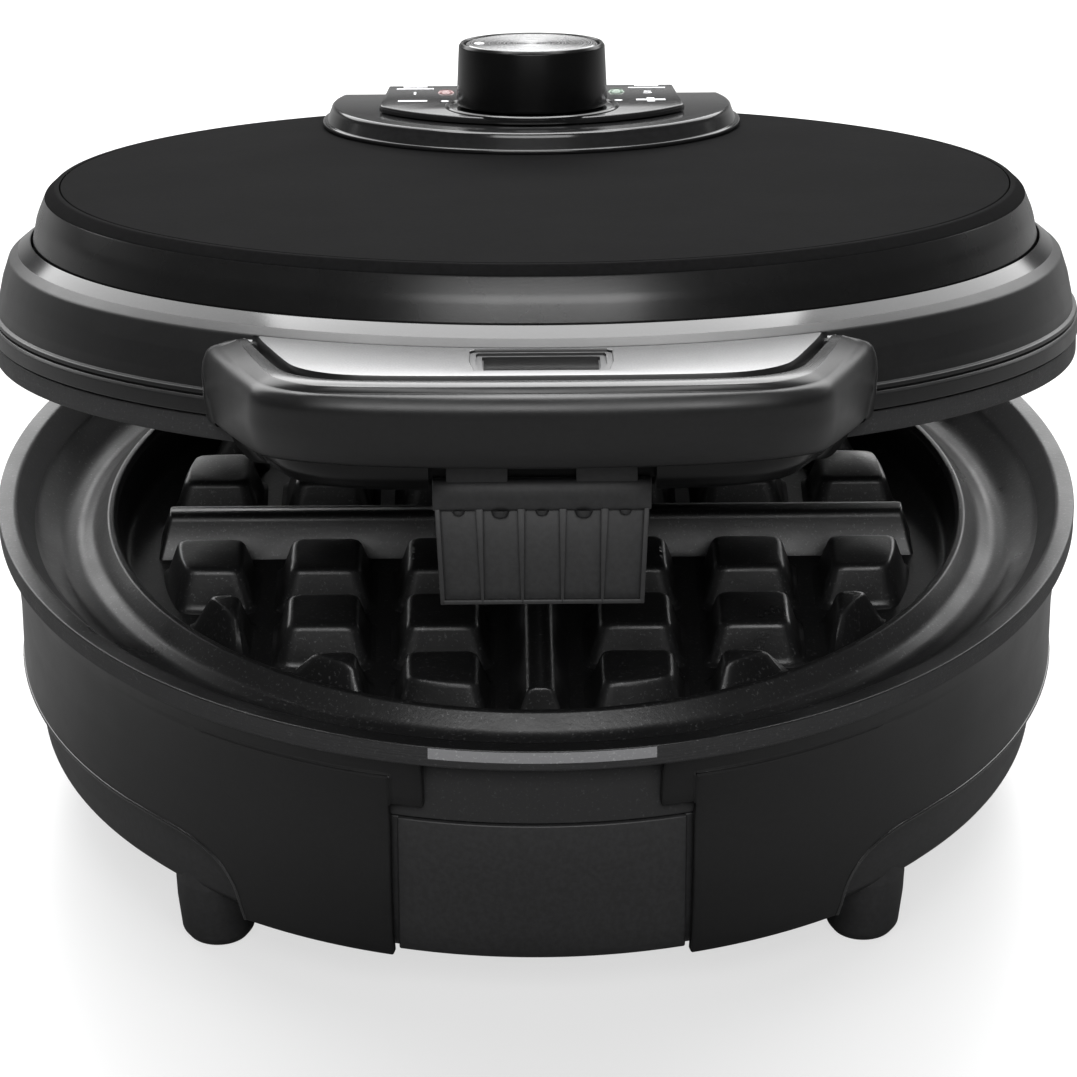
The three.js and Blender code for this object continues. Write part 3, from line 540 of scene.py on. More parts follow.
def housing():
    """The shell round the drum: a skirt at the sides, an apron at the front, open at the latch notch."""
    heights = [-5.6, -6.4, -7.6, -8.8, -9.4, -9.8, -10.4, -12, -14.5, NOTCH_Z]
    collar_z = -9.6
    below = 12
    rows = len(heights) + below
    columns = housing_columns()

    def recess(away):
        return 0.85 * max(0.0, 1 - away / 46) ** 0.7

    vertices, faces = [], []
    for angle, low in columns:
        away = min(angle, 360 - angle)
        turn = math.radians(angle)
        for z in heights + [NOTCH_Z + (low - NOTCH_Z) * k / below for k in range(1, below + 1)]:
            r = interpolated(HOUSING, z)
            if z > collar_z or away < WING_ANGLE:
                r -= recess(away)
            vertices.append((r * math.sin(turn), -r * math.cos(turn), z))
    for c in range(len(columns) - 1):
        away = min(columns[c][0], 360 - columns[c + 1][0])
        depth = len(heights) - 1 if away < WING_ANGLE - 0.05 else rows - 1
        for k in range(depth):
            a = c * rows + k
            faces.append([a, a + 1, a + rows + 1, a + rows])
    made = piece("housing_shell", (vertices, faces, None), "base", SATIN,
                 ["base_housing"], sharp=3)
    drop_loose(made)
    if faces_inward(made):
        made.data.flip_normals()
    walls = made.modifiers.new("walls", "SOLIDIFY")
    walls.thickness = HOUSING_WALL * MM
    walls.offset = -1
    edges = made.modifiers.new("edges", "BEVEL")
    edges.width = 0.5 * MM
    edges.use_clamp_overlap = False
    edges.segments = 3
    edges.limit_method = "ANGLE"
    edges.angle_limit = math.radians(38)
    edge_bead([(interpolated(HOUSING, low) - 0.2, math.radians(angle), low + 0.25)
               for angle, low in columns if APRON_ANGLE + 0.2 < angle < 360 - APRON_ANGLE - 0.2])
    for side in (-1, 1):
        lug(side)


def edge_bead(path, thickness=0.5, around=8):
    """A fine rounded edge along the foot of the housing's skirt and down the sides of its apron."""
    points = [Vector((r * math.sin(turn), -r * math.cos(turn), z)) for r, turn, z in path]
    rings = []
    for k, (point, (_, turn, _)) in enumerate(zip(points, path)):
        along = points[min(k + 1, len(points) - 1)] - points[max(k - 1, 0)]
        out = Vector((math.sin(turn), -math.cos(turn), 0))
        across = out.cross(along).normalized()
        ring = []
        for i in range(around):
            angle = 2 * math.pi * i / around
            ring.append(tuple(point + (out * math.cos(angle) + across * math.sin(angle)) * thickness))
        rings.append(ring)
    piece("housing_edge_bead", stack(rings), "base", RIM_GLOSS, ["base_housing"])


def drop_loose(made):
    """Removes the points that no face uses."""
    mesh = bmesh.new()
    mesh.from_mesh(made.data)
    bmesh.ops.delete(mesh, geom=[v for v in mesh.verts if not v.link_faces], context="VERTS")
    mesh.to_mesh(made.data)
    mesh.free()


def faces_inward(made):
    """True if an open shell's faces look towards the axis."""
    middle = Vector((0, CENTRE_Y * MM, 0))
    total = 0.0
    for face in made.data.polygons:
        out = face.center - middle
        out.z = 0
        total += face.normal.dot(out) * face.area
    return total < 0


def hinge_barrel(radius, start):
    """(y, z) points round the hinge pin, over 200 degrees from a starting angle."""
    turns = [start + 3.5 * i / 18 for i in range(19)]
    return [(HINGE_Y + radius * math.cos(turn), radius * math.sin(turn)) for turn in turns]


def lug(side):
    """A moulded ear behind the housing that holds one end of the hinge pin."""
    outline = hinge_barrel(5.8, -0.35) + [(117.6, -6.4), (109, -6.4), (109, -33), (114, -33), (122, -20)]
    x0, x1 = sorted((22 * side, 33 * side))
    part = chamfered(along_x(outline, x0, x1), 0.6, 3)
    name = "hinge_lug_right" if side > 0 else "hinge_lug_left"
    piece(name, part, "base", SATIN, ["base_housing"])


def drum():
    """The drum below the housing, with a raised panel between the housing's two wings."""
    outline = filleted([
        (110.3, -21, 0.4), (109.8, -46, 6), (109.1, -51.4, 3), (106.4, -54.2, 1.6), (87, -54.2, 0.3),
        (87, -51.8, 0.3), (106, -51.8, 0.6), (107.9, -21, 0.3),
    ])
    piece("drum_shell", lathe(outline, 256), "base", PANEL, ["base_drum"])
    rings = []
    for z, radius in ((-21, 111.0), (-32, 110.9), (-46, 110.7), (-50.5, 110.4), (-52.8, 109.6),
                      (-53.7, 108.6)):
        sweep = math.asin(PANEL_HALF / radius)
        outer = arc(radius, 0, -math.pi / 2 - sweep, -math.pi / 2 + sweep, 28)
        inner = arc(radius - 2, 0, -math.pi / 2 + sweep, -math.pi / 2 - sweep, 28)
        rings.append([(x, y, z) for x, y in outer + inner])
    piece("drum_front_panel", chamfered(stack(rings), 0.4, 3), "base", PANEL,
          ["base_drum"])


def spots(stem):
    """The number and the (x, y) centre of each of the four CAD nodes whose names share a stem."""
    for i in range(1, 5):
        low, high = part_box(f"{stem}_{i}")
        yield i, (low[0] + high[0]) / 2 / MM, (low[1] + high[1]) / 2 / MM - CENTRE_Y


def feet():
    """Tapered feet, each with a rubber pad let into its end."""
    sole = -RIM_Z
    foot = filleted([
        (0, -46, 0), (7.4, -46, 0.3), (8.6, -53, 3), (8.4, -58, 2), (7.6, sole + 2.4, 2.2),
        (6.3, sole + 0.6, 0.6), (5.9, sole + 0.9, 0.2), (5.9, sole + 3, 0.2), (0, sole + 3, 0),
    ])
    pad = filleted([(0, sole, 0), (4.9, sole, 0.5), (5.5, sole + 0.6, 0.4), (5.5, sole + 2.6, 0.2),
                    (0, sole + 2.6, 0)])
    for i, x, y in spots("foot"):
        piece(f"foot_body_{i}", moved(lathe(foot, 64), x, y), "base", MATTE,
              [f"foot_{i}"])
        piece(f"foot_sole_{i}", moved(lathe(pad, 48), x, y), "base", RUBBER,
              [f"foot_pad_{i}"])


def underside():
    """The floor disc keeps its CAD shape; its screws get domed heads with a cross recess."""
    for i, x, y in spots("floor_screw"):
        head = lathe(filleted([(0, -58.4, 0), (2, -58.3, 1), (3.5, -57.3, 0.5), (3.6, -56.8, 0.1),
                               (1.7, -56.8, 0.1), (1.7, -54.9, 0.2), (0, -54.9, 0)]), 32)
        bars = [chamfered(prism([(-a, -b), (a, -b), (a, b), (-a, b)], -58.38, -57.4), 0.08, 1)
                for a, b in ((1.5, 0.28), (0.28, 1.5))]
        piece(f"screw_head_{i}", moved(head, x, y), "base", STEEL, [f"floor_screw_{i}"])
        piece(f"screw_recess_{i}", moved(merged(bars), x, y), "base", RUBBER,
              [f"floor_screw_{i}"])


def gland():
    """The grommet in the back of the housing."""
    outline = filleted([(3.2, 102, 0.3), (6, 102, 0.3), (6, 113.2, 0.2), (9.5, 113.2, 0.4),
                        (9.2, 116.6, 1), (5.4, 117.4, 0.6), (4.8, 119, 0.4), (3.2, 119, 0.3)])
    vertices, faces, uvs = lathe(outline, 64)
    low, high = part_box("cord_gland")
    z = (low[2] + high[2]) / 2 / MM - RIM_Z
    turned = [(x, axial, y + z) for x, y, axial in vertices]
    piece("cord_gland_collar", (turned, faces, uvs), "base", RUBBER, ["cord_gland"])


# -------------------- lid

SKIRT_FOOT_R = 116.7
LEDGE_Z = 23.32
# Height and outer radius of the lid's skirt above its foot.
SKIRT = [(9.7, 116.6), (10.6, 115.8), (15, 114.9), (19.4, 113.5), (22.3, 112), (23.4, 111), (40, 111)]


def skirt_radius(h):
    """Outer radius of the lid's skirt at height h."""
    return SKIRT_FOOT_R if h < SKIRT[0][0] else interpolated(SKIRT, h)


def lid_skirt():
    """The ring round the lid, with a foot, a bead and a glossy ledge on top."""
    outline = filleted([
        (116.6, 5.5, 0.4), (116.7, 8.5, 0.6), (116.3, 9.1, 0.3), (115.6, 9.25, 0.1), (115.6, 9.5, 0.1),
        (116.3, 9.6, 0.3), (116.2, 10.4, 0.3), (115.3, 10.65, 0.15), (115.1, 13, 6), (114.2, 17.4, 6),
        (112.8, 21.7, 1.6), (110.9, 23.3, 0.3), (108, 25.6, 0.2), (108, 23.6, 0.3), (109.2, 21.6, 1),
        (111.6, 16, 2), (112.8, 5.5, 0.3),
    ], 5)

    def look_of(centre, normal):
        return 1 if centre.z > LEDGE_Z and normal.z > 0.3 else 0

    piece("lid_skirt_shell", lathe(outline, DISH_STEPS), "lid", [SATIN, LEDGE],
          ["lid_skirt"], look_of, sharp=0.7)


def hinge_arm():
    """The lid's knuckle, which turns on the pin between the two lugs."""
    arm = hinge_barrel(5.4, -2.6) + [(125.6, 12), (118, 19.5), (111, 19.5), (112, 6.2), (117.4, 6.2)]
    piece("lid_hinge_arm", chamfered(along_x(arm, -21.5, 21.5), 0.7, 3), "lid",
          SATIN, ["lid_skirt"])


def dome():
    """The dome, and the matte panel let into its top."""
    outline = filleted([
        (107.5, 25.7, 0.3), (106.6, 30.2, 12), (104.8, 34.6, 1.8), (102.7, 36.55, 0.9),
        (101.7, 36.55, 0.12), (101.7, 34.4, 0.1), (96, 34.4, 0.2), (96, 32.6, 0.2), (101.8, 32.4, 1),
        (105, 27, 1), (105.4, 21, 0.3), (108.6, 21, 0.3), (107.4, 23.4, 0.3),
    ], 6)

    def shoulder_of(_, normal):
        return 1 if normal.z > 0.5 else 0

    piece("lid_dome", lathe(outline, DISH_STEPS), "lid", [DOME, TOP], ["lid_cover"],
          shoulder_of, sharp=0.7)
    top = filleted([(0, 34.8, 0), (101.45, 34.8, 0.2), (101.45, 36.6, 0.3), (60, 37.1, 0), (0, 37.2, 0)])
    piece("lid_top", lathe(top, 256), "lid", TOP, ["lid_top_panel"])


BEZEL_R, BEZEL_Y, BEZEL_BACK = 47.6, 75.4, 92
BEZEL_FOOT, BEZEL_TOP, FASCIA_TOP = 37.3, 41.7, 43.5
FASCIA_HALF, FASCIA_FRONT, FASCIA_ARC_R = 34.4, 39.5, 39.1
SIGN_X, SIGN_Y = 27, 66
MARK_THICKNESS = 0.06


def bezel_outline(inset):
    """A round outline cut straight across at the back."""
    radius = BEZEL_R - inset
    corner = math.asin((BEZEL_BACK - inset - BEZEL_Y) / radius)
    return arc(radius, BEZEL_Y, math.pi - corner, 2 * math.pi + corner, 90)


def bezel():
    """The black collar on the lid: a thin flange at its foot, leaning walls and a rounded top edge."""
    foot = slab(bezel_outline, BEZEL_FOOT, BEZEL_FOOT + 0.9, 0.1, 0.4)
    wall = BEZEL_TOP - BEZEL_FOOT - 1.7
    levels = [(BEZEL_FOOT + 0.8 + wall * k / 8, 0.9 + 1.1 * (k / 8)) for k in range(9)]
    for k in range(1, 6):
        angle = math.pi / 2 * k / 5
        levels.append((BEZEL_TOP - 0.9 + 0.9 * math.sin(angle), 2.0 + 0.9 * (1 - math.cos(angle))))
    body = stack([[(x, y, h) for x, y in bezel_outline(inset)] for h, inset in levels])
    piece("bezel_body", merged([foot, body]), "lid", GLOSS, ["control_bezel"])


def fascia_outline(inset):
    """The fascia's outline: a bowed front edge, and sides that close in a little to the back."""
    half_chord = FASCIA_HALF - inset
    sweep = math.asin(half_chord / FASCIA_ARC_R)
    front = arc(FASCIA_ARC_R, FASCIA_FRONT + inset + FASCIA_ARC_R, -math.pi / 2 - sweep,
                -math.pi / 2 + sweep, 48)
    return front + [(32.8 - inset, 90 - inset), (-32.8 + inset, 90 - inset)]


def fascia():
    """The plate under the knob, with a raised ring round the knob and a lamp at each side."""
    top = FASCIA_TOP
    plate = slab(fascia_outline, BEZEL_TOP + 0.35, top, 0.1, 0.6)
    ring = lathe(filleted([(18.1, top - 0.4, 0.1), (19.6, top - 0.4, 0.1), (19.6, top + 0.2, 0.2),
                           (19.2, top + 0.5, 0.2), (18.5, top + 0.4, 0.2), (18.1, top - 0.1, 0.1)]), 96)
    piece("fascia_plate", merged([plate, moved(ring, y=DIAL_Y)]), "lid", GLOSS,
          ["control_fascia"])
    bulb = lathe(filleted([(0, top - 1.6, 0), (2, top - 1.6, 0.1), (2, top, 0.2), (1.4, top + 0.5, 0.4),
                           (0, top + 0.68, 0)]), 40)
    for lamp, colour, look in (("power", "red", RED_LENS), ("ready", "green", GREEN_LENS)):
        low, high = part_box(f"{lamp}_lamp")
        centre = in_lid([(a + b) / 2 for a, b in zip(low, high)])
        piece(f"{lamp}_lens", moved(bulb, centre.x, centre.y), "lid", look,
              [f"{lamp}_lamp"])


def dial_signs(height):
    """A minus and a plus sign at the dial's ends, two bars beside each lamp, and five dots."""
    def mark(outline):
        return prism(outline, height, height + MARK_THICKNESS)

    def bar(x, y, width, depth):
        x0, x1, y0, y1 = x - width / 2, x + width / 2, y - depth / 2, y + depth / 2
        return mark([(x0, y0), (x1, y0), (x1, y1), (x0, y1)])

    marks = [bar(SIGN_X, SIGN_Y, 1.7, 5.6)]
    for side in (-1, 1):
        marks += [bar(side * SIGN_X, SIGN_Y, 6.6, 1.7), bar(side * 26.6, 84.6, 8.5, 1.2),
                  bar(side * 26.6, 87.6, 5.5, 1.2)]
    for k in range(5):
        angle = math.radians(158 - k * 34)
        x, y = 21.2 * math.cos(angle), DIAL_Y + 21.2 * math.sin(angle)
        marks.append(mark(circle(x, y, 0.9, 16)))
    piece("dial_signs", merged(marks), "lid", PRINT, ["control_fascia"])


def dial_digits(height):
    """The numbers 1 to 5 round the back of the dial."""
    for k, digit in enumerate("12345"):
        away = k - 2
        text = bpy.data.curves.new(f"dial_digit_{digit}", "FONT")
        text.body = digit
        text.size = 5.2
        text.align_x = "CENTER"
        text.align_y = "CENTER"
        text.extrude = MARK_THICKNESS / 2
        made = placed(f"dial_digit_{digit}", text)
        made.matrix_world = LID @ Matrix.Translation((13.3 * away, 85.6 - 2 * away * away, height))
        text.materials.append(PRINT)
        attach(made, "lid")


def knob():
    """A hollow knob with a spun cap and a raised pointer dot."""
    low, high = 44.2, 58.0
    outline = filleted([
        (0, high - 1.8, 0), (15.2, high - 1.8, 0.1), (15.2, high - 0.35, 0.2), (15.5, high, 0.25),
        (15.9, high, 0.3), (16.4, high - 0.7, 0.5), (17, low, 0.5), (14.6, low, 0.4), (14.6, high - 7, 0.8),
        (6, high - 7, 0.4), (6, low + 1.6, 0.3), (3.4, low + 1.6, 0.2), (3.4, high - 4, 0.2),
        (0, high - 4, 0),
    ])
    piece("knob_body", lathe(outline, 128), "knob", KNOB_BLACK, ["knob"])
    cap = filleted([(0, high - 1.4, 0), (14.8, high - 1.4, 0.1), (14.8, high - 0.5, 0.2),
                    (14.4, high - 0.2, 0.2), (0, high - 0.28, 0)])
    pointer = filleted([(0, high - 0.6, 0), (0.9, high - 0.32, 0.3), (1.1, high - 0.12, 0.05),
                        (1.3, high - 0.27, 0.02), (1.3, high - 0.8, 0), (0, high - 0.8, 0)])
    piece("knob_cap_disc", lathe(cap, 128), "knob", SPUN, ["knob_cap"])
    piece("knob_pointer", moved(lathe(pointer, 32), -11.8), "knob", STEEL, ["knob_cap"])


# -------------------- handle

HANDLE_BACK = -84
HANDLE_TOP = 21.05
POCKET = (58, 48.8, 139.4, 0)
INSERT_PLAN = (56.6, 47.3, 137.6, 0)
INSERT_TOP = 21.9
INSERT_DROP = 0.3
UNDER_COVER_R = 118.4
BAY_X, BAY_Y = 21.8, -119.3


def softened(points, rounds=3):
    """Chaikin's corner cutting on an open line, keeping its two ends."""
    for _ in range(rounds):
        smoother = [points[0]]
        for (x0, y0), (x1, y1) in zip(points, points[1:]):
            smoother += [(a * x0 + (1 - a) * x1, a * y0 + (1 - a) * y1) for a in (0.75, 0.25)]
        smoother.append(points[-1])
        points = smoother
    return points


def bow(half_back, half_front, front, bulge, inset=0.0):
    """The front line of the bow handle in plan, from its right end round to its left end."""
    edge = half_front - inset
    half = [(half_back - inset, HANDLE_BACK), (half_back - inset, HANDLE_BACK - 12 + inset / 2)]
    for step_in, tight, loose in ((-2, 14, 17.5), (0.5, 8.5, 12.8), (5, 4, 9.3), (11, 1.3, 6.2),
                                  (24, 0.2, 2.4)):
        half.append((edge - step_in, inset - front + tight + (loose - tight) * bulge))
    line = half + [(0, inset - front)] + [(-x, y) for x, y in half[::-1]]
    return softened(line)


def handle_ring(height, shape, stand_off=0.3, inset=0.0, back_steps=40):
    """A closed ring of the handle at a height, its back pulled forward to clear the lid's skirt."""
    line = bow(*shape, inset)
    x_end = line[0][0]
    back = [(-x_end + 2 * x_end * k / back_steps, HANDLE_BACK) for k in range(1, back_steps)]
    radius = skirt_radius(height) + stand_off
    ring = []
    for x, y in line + back:
        clear = -math.sqrt(max(0.0, radius * radius - x * x))
        ring.append((x, min(y, clear), height))
    return ring


def evenly(points, count):
    """Points at equal distances along an open line."""
    lengths = [0.0]
    for start, end in zip(points, points[1:]):
        lengths.append(lengths[-1] + math.dist(start, end))
    spaced, k = [], 0
    for i in range(count):
        want = lengths[-1] * i / (count - 1)
        while k < len(points) - 2 and lengths[k + 1] < want:
            k += 1
        share = min(1.0, (want - lengths[k]) / max(1e-9, lengths[k + 1] - lengths[k]))
        (x0, y0), (x1, y1) = points[k], points[k + 1]
        spaced.append((x0 + (x1 - x0) * share, y0 + (y1 - y0) * share))
    return spaced


def blended(levels, steps):
    """Catmull-Rom interpolation of rows of numbers, keyed by their first number."""
    rows = []
    for k in range(len(levels) - 1):
        before = levels[max(k - 1, 0)]
        start, end = levels[k], levels[k + 1]
        after = levels[min(k + 2, len(levels) - 1)]
        for i in range(steps):
            t = i / steps
            row = [0.5 * (2 * b + (c - a) * t + (2 * a - 5 * b + 4 * c - d) * t * t
                          + (3 * b - a - 3 * c + d) * t ** 3)
                   for a, b, c, d in zip(before, start, end, after)]
            rows.append(row)
    return rows + [list(levels[-1])]


def sloped(ring):
    """A ring of the insert, let down towards the front so that its face is not quite level."""
    return [(x, y, h - INSERT_DROP * min(1.0, max(0.0, (-112 - y) / 26))) for x, y, h in ring]


def recess_outline(inset):
    """The recess in the insert, which narrows to the front."""
    half = [(13.8 - inset, -114 - inset / 2), (13.8 - inset, -125), (12.8 - inset, -133.6)]
    return [(-x, y) for x, y in half] + half[::-1]


def projected(ring, outline, centre, height):
    """The points where lines from the centre to a ring's points cross a convex outline."""
    crossings = []
    for x, y, _ in ring:
        dx, dy = x - centre[0], y - centre[1]
        shares = []
        for (x0, y0), (x1, y1) in zip(outline, outline[1:] + outline[:1]):
            normal_x, normal_y = y1 - y0, x0 - x1
            facing = dx * normal_x + dy * normal_y
            share = ((x0 - centre[0]) * normal_x + (y0 - centre[1]) * normal_y) / facing if facing else -1
            if share > 0:
                shares.append(share)
        crossings.append((centre[0] + dx * min(shares), centre[1] + dy * min(shares), height))
    return crossings


def handle_shell():
    """The bow of the handle, from its hollow underside round to the pocket in its top."""
    hollow = [(16.6, (60, 52, 142, 0), 4), (12, (63.4, 53.2, 142.6, 0.5), 3),
              (4.4, (63.2, 51.6, 139.4, 1), 3), (4.0, (63.6, 52, 139.8, 1), 2.6)]
    outside = blended([
        (4.0, 64.6, 53, 141.2, 1), (4.3, 65.4, 53.6, 142.2, 1), (5.2, 65.9, 54, 143.1, 0.95),
        (7.5, 66.3, 54.5, 144.7, 0.85), (10.5, 66.7, 54.9, 146, 0.7), (13.5, 66.9, 55, 146.8, 0.6),
        (15.6, 66.7, 55, 147.1, 0.5), (17, 66.3, 54.8, 146.9, 0.45), (18.2, 65.7, 54.4, 146.3, 0.4),
        (18.9, 64.8, 53.8, 145.6, 0.3), (19.3, 63.8, 53, 144.9, 0.2), (19.6, 63.2, 52.6, 144.7, 0.15),
    ], 3)
    rim = [(HANDLE_TOP - 0.5, (60.6, 51, 144.5, 0.05), 0.3), (HANDLE_TOP - 0.32, (60.1, 50.6, 144.2, 0), 0.4),
           (HANDLE_TOP, (58.6, 49.4, 140.2, 0), 0.6), (HANDLE_TOP - 0.1, (58.2, 49, 139.7, 0), 0.8),
           (HANDLE_TOP - 0.4, POCKET, 0.9), (18.8, POCKET, 0.9)]
    levels = hollow + [(height, shape) for height, *shape in outside] + rim

    def rim_of(centre, normal):
        return 1 if centre.z > HANDLE_TOP - 0.3 and normal.z > 0.4 else 0

    piece("handle_shell", stack([handle_ring(*level) for level in levels]), "lid",
          [SATIN, RIM_GLOSS], ["handle_body"], rim_of, sharp=1.1)


def handle_insert():
    """The grey plate in the top of the handle, with a stepped recess and a black trim in it."""
    top = INSERT_TOP
    rings = [handle_ring(height, INSERT_PLAN, 0.9 + inset, inset)
             for height, inset in ((19.0, 0), (top - 0.5, 0), (top - 0.15, 0.1), (top, 0.4))]
    crown = rings[-1]
    for inset, height in ((-0.15, top), (0, top - 0.15), (0, top - 0.6), (1.2, top - 0.65),
                          (1.2, top - 1.2), (2.4, top - 1.25), (2.4, top - 1.9)):
        rings.append(projected(crown, recess_outline(inset), (0, -128), height))

    def face_of(_, normal):
        return 0 if normal.z > 0.6 else 1

    piece("handle_insert", stack([sloped(ring) for ring in rings]), "lid",
          [INSERT, SATIN], ["handle_top_insert"], face_of, sharp=0.5)
    trim = [sloped([(x, y, h) for x, y in recess_outline(2.7)]) for h in (top - 2.2, top - 1.5)]
    piece("handle_trim_plate", chamfered(stack(trim), 0.15, 2), "lid", KNOB_BLACK,
          ["handle_trim"])


def under_cover():
    """The cover below the handle, with a bay open to the front for the latch; its near-black colour is
    painted shade for the shadow under the handle.
    """
    levels = [(-2.4, 56.2, 47.2, 131.2, 0.3), (-1.9, 57.4, 48, 132.6, 0.35), (-0.6, 58.8, 49, 134.6, 0.45),
              (1.4, 60.4, 50.2, 137.4, 0.6), (3.65, 61.5, 51, 139.2, 0.8)]
    rings = []
    for height, *shape in blended(levels, 4):
        line = [(x, min(y, -math.sqrt(max(0.0, UNDER_COVER_R ** 2 - x * x)))) for x, y in bow(*shape)]
        right = [(x, y) for x, y in line if x > BAY_X]
        (x0, y0), (x1, y1) = right[-1], line[len(right)]
        right = evenly(right + [(BAY_X, y0 + (y1 - y0) * (x0 - BAY_X) / (x0 - x1))], 60)
        left = [(-x, y) for x, y in right[::-1]]
        end = math.asin(right[0][0] / UNDER_COVER_R)
        back = arc(UNDER_COVER_R, 0, -math.pi / 2 - end, -math.pi / 2 + end, 40)[1:-1]
        outline = right + [(BAY_X, BAY_Y), (-BAY_X, BAY_Y)] + left + back
        rings.append([(x, y, height) for x, y in outline])
    # Painted shade: the cover takes the knob's near-black instead of the matte black, which darkens it where
    # the handle shades it.
    piece("handle_under_shell", stack(rings), "lid", KNOB_BLACK,
          ["handle_under_cover"], sharp=0.7)


# -------------------- latch

LATCH_FRONT, LATCH_BOTTOM, LATCH_HALF = -123.0, -27.0, 21.2
LATCH_BACK = LATCH_FRONT + 3.2
BAND_TOP, BAND_LOW = -2.2, -8.4


def latch_hanger():
    """The rounded band across the latch's top, and the two arms and barrels that carry it."""
    middle, reach = (BAND_TOP + BAND_LOW) / 2, (BAND_TOP - BAND_LOW) / 2
    turns = [math.pi * (0.5 + k / 12) for k in range(13)]
    nose = [(LATCH_FRONT + 1.2 + 1.2 * math.cos(turn), middle + reach * math.sin(turn)) for turn in turns]
    band = [(LATCH_BACK, BAND_TOP)] + nose + [(LATCH_BACK, BAND_LOW)]
    neck = [(LATCH_FRONT + 0.6, -3), (LATCH_BACK, -3), (LATCH_BACK, 3.6), (-121.4, 9), (-125, 9),
            (-125, 6.4), (LATCH_FRONT + 0.6, 3.4)]
    barrel = circle(PIVOT.y, PIVOT.z, 3.3, 32)
    arms = ((-18.6, -6.6), (6.6, 18.6))
    return ([chamfered(along_x(band, -LATCH_HALF, LATCH_HALF), 0.3, 2, 0.9)]
            + [chamfered(along_x(neck, x0, x1), 0.3, 2) for x0, x1 in arms]
            + [chamfered(along_x(barrel, x0, x1), 0.25, 2, 0.8) for x0, x1 in arms])


def latch_blade(x, low_half, high_half, y_back, y_front, spread=1.0, width=0.16):
    """An upright blade of the latch, which widens and leans outwards to its top."""
    rings = []
    for half, height, at in ((low_half, LATCH_BOTTOM, x), (high_half, -8, x * spread)):
        rings.append([(at - half, y_back, height), (at - half, y_front, height),
                      (at + half, y_front, height), (at + half, y_back, height)])
    return chamfered(stack(rings), width, 2)


def latch_plate():
    """The sheet below the band with its six ribs, the lip along its foot, and the hook behind it."""
    front, back = LATCH_FRONT + 0.5, LATCH_BACK
    parts = [latch_blade(0, 19.8, 20.8, back, back - 1.4, width=0.25)]
    for i in range(6):
        low_half, high_half = (0.45, 0.5) if i in (0, 5) else (0.28, 0.75)
        parts.append(latch_blade(19.35 * (i - 2.5) / 2.5, low_half, high_half, back - 0.6, front,
                                 20.3 / 19.35))
    lip = [(back, LATCH_BOTTOM), (front, LATCH_BOTTOM), (front, LATCH_BOTTOM + 0.9),
           (back, LATCH_BOTTOM + 0.9)]
    hook = [(back - 1, -5.7), (-114.4, -5.7), (-114.4, -7), (back, -13.4), (back - 1, -13.4)]
    return parts + [chamfered(along_x(lip, -19.8, 19.8), 0.2, 2), chamfered(along_x(hook, -17, 17), 0.3, 2)]


def latch_bosses():
    """Small rounded lumps under the band, the larger ones in the second and fourth bays."""
    for i, size in enumerate((1.3, 1.9, 1.4, 1.9, 1.3)):
        lump = filleted([(0, -size, 0), (size * 0.75, -size * 0.75, size * 0.5), (size, 0, 0.2), (0, 0, 0)])
        yield moved(lathe(lump, 24), (i - 2) * 8.1, LATCH_BACK - 1.6, BAND_LOW + 0.1)


def latch():
    """The flap that swings in the handle, as one piece."""
    parts = latch_hanger() + latch_plate() + list(latch_bosses())
    piece("latch_flap", merged(parts), "latch", MATTE, ["latch"], sharp=0.5)


# -------------------- carried-over CAD nodes


def dress_cad_nodes():
    """Node materials for the CAD solids that stay as they are."""
    dressed = {
        MATTE: ["base_floor"], CREAM: ["terminal_block"], PHENOLIC: ["thermostat_body"],
        SHEET: ["lower_heat_reflector", "upper_heat_reflector", "thermostat_bracket"],
        STEEL: ["lower_heating_element", "upper_heating_element", "thermal_fuse", "hinge_pin",
                "thermostat_shaft", "latch_pin", "latch_spring"],
    }
    for look, nodes in dressed.items():
        for node in nodes:
            slots = frame["nodes"][node].material_slots
            if not slots:
                frame["nodes"][node].data.materials.append(look)
            for material_slot in slots:
                material_slot.material = look


# -------------------- camera, floor and light

FLOOR_GLOW, FLOOR_GREY = 0.66, 0.17
WALL_LIGHT, FILL_LIGHT, WHITE_TO_CAMERA = 3.6, 0.12, 1.05
WALL_SIDES, WALL_FOOT, WALL_HEAD = (0.5, 0.72), (0.06, 0.12), (0.9, 0.7)


def area_light(name, place, target, size, power):
    """A soft rectangular light at a place, turned to face its target."""
    light = bpy.data.lights.new(name, "AREA")
    light.shape = "RECTANGLE"
    light.size, light.size_y = size
    light.energy = power
    made = placed(name, light)
    made.location = place
    made.rotation_euler = (Vector(target) - Vector(place)).to_track_quat("-Z", "Y").to_euler()


def camera():
    """A long lens in front of the object, looking down a little."""
    azimuth, elevation, roll = math.radians(-0.588), math.radians(27.907), math.radians(0.136)
    distance, lens_mm = 1.1392, 173.39
    target = Vector((0.0005, CENTRE_Y * MM, (RIM_Z - 14.13) * MM))
    back = Vector((math.sin(azimuth) * math.cos(elevation), -math.cos(azimuth) * math.cos(elevation),
                   math.sin(elevation)))
    data = bpy.data.cameras.new("camera")
    data.sensor_width = 36
    data.lens = lens_mm
    data.clip_start, data.clip_end = 0.05, 50
    made = placed("camera", data)
    aim = back.to_track_quat("Z", "Y").to_matrix().to_4x4()
    made.matrix_world = Matrix.Translation(target + back * distance) @ aim @ Matrix.Rotation(-roll, 4, "Z")
    bpy.context.scene.camera = made


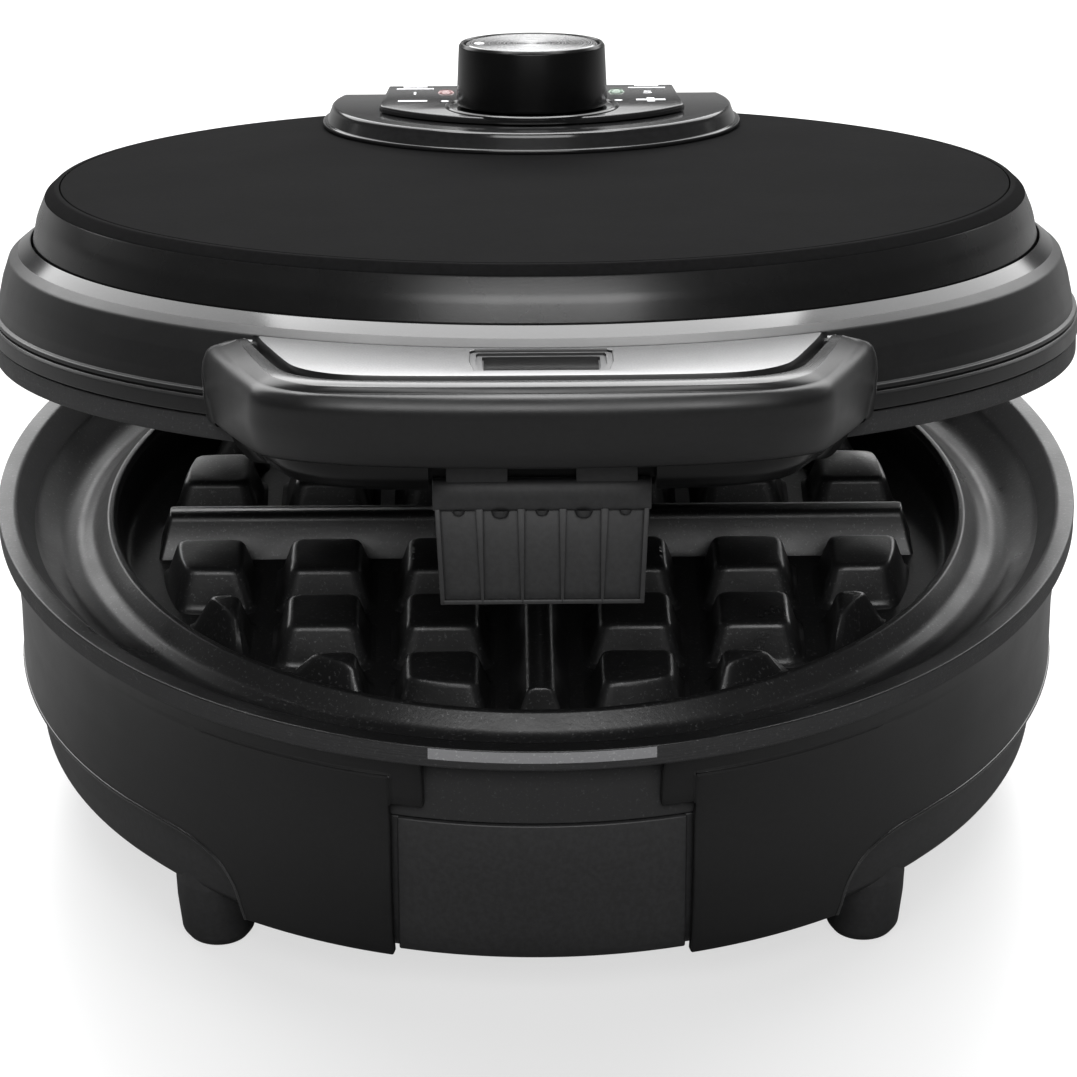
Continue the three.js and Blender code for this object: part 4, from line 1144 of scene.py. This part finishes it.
def stage():
    """A pale bench, one large soft light overhead and a smaller one in front.

    The bench glows to the camera only, so that it looks white and doesn't light the object from below.
    """
    bpy.context.scene.view_settings.view_transform = "Standard"
    mesh = bpy.data.meshes.new("bench")
    reach = 6
    mesh.from_pydata([(-reach, -reach, 0), (reach, -reach, 0), (reach, reach, 0), (-reach, reach, 0)], [],
                     [(0, 1, 2, 3)])
    bench = placed("bench", mesh)
    look = Look("bench_white", (0.2, 0.2, 0.2), 0.35, Emission_Color=(1, 1, 1, 1),
                Emission_Strength=FLOOR_GLOW)
    look.vary_roughness(look.noise(3), 0.32, 0.38)
    dim = fill(look.nodes.new("ShaderNodeBsdfDiffuse"), Color=(FLOOR_GREY, FLOOR_GREY, FLOOR_GREY, 1))
    path = look.nodes.new("ShaderNodeLightPath")
    mix = look.nodes.new("ShaderNodeMixShader")
    look.links.new(path.outputs["Is Camera Ray"], mix.inputs["Fac"])
    look.links.new(dim.outputs["BSDF"], mix.inputs[1])
    look.links.new(look.shader.outputs["BSDF"], mix.inputs[2])
    look.links.new(mix.outputs["Shader"], look.nodes["Material Output"].inputs["Surface"])
    mesh.materials.append(look.material)
    surround()
    area_light("top_box", (0, 0.35, 1.2), (0, 0.35, 0), (1.3, 0.8), 30)
    area_light("front_box", (0, -1.0, 0.85), (0, 0, 0.09), (1.0, 0.45), 9)


def surround():
    """The world: white to the camera; to everything else a bright low wall behind and dim elsewhere."""
    world = bpy.data.worlds.new("surround")
    world.use_nodes = True
    bpy.context.scene.world = world
    nodes, links = world.node_tree.nodes, world.node_tree.links

    def math_node(operation, first, second=None):
        node = nodes.new("ShaderNodeMath")
        node.operation = operation
        for socket, value in zip(node.inputs, (first, second)):
            if isinstance(value, (int, float)):
                socket.default_value = value
            elif value is not None:
                links.new(value, socket)
        return node.outputs["Value"]

    def step(source, start, end):
        node = nodes.new("ShaderNodeMapRange")
        node.interpolation_type = "SMOOTHSTEP"
        links.new(source, fill(node, From_Min=start, From_Max=end).inputs["Value"])
        return node.outputs["Result"]

    split = nodes.new("ShaderNodeSeparateXYZ")
    links.new(nodes.new("ShaderNodeTexCoord").outputs["Generated"], split.inputs["Vector"])
    level_part = math_node("SQRT", math_node("SUBTRACT", 1.0, math_node("POWER", split.outputs["Z"], 2.0)))
    behind = step(math_node("DIVIDE", split.outputs["Y"], level_part), *WALL_SIDES)
    above = step(split.outputs["Z"], *WALL_FOOT)
    below = step(split.outputs["Z"], *WALL_HEAD)
    wall = math_node("MULTIPLY", math_node("MULTIPLY", behind, above), below)
    level = math_node("MULTIPLY_ADD", wall, WALL_LIGHT)
    level.node.inputs[2].default_value = FILL_LIGHT
    path = nodes.new("ShaderNodeLightPath")
    white = math_node("MULTIPLY", path.outputs["Is Camera Ray"], WHITE_TO_CAMERA)
    seen = math_node("MAXIMUM", level, white)
    links.new(seen, nodes["Background"].inputs["Color"])


camera()
stage()
lower_plate()
upper_plate()
housing()
drum()
feet()
underside()
gland()
lid_skirt()
hinge_arm()
dome()
bezel()
fascia()
dial_signs(FASCIA_TOP + 0.02)
dial_digits(FASCIA_TOP + 0.02)
knob()
handle_shell()
handle_insert()
under_cover()
latch()
dress_cad_nodes()
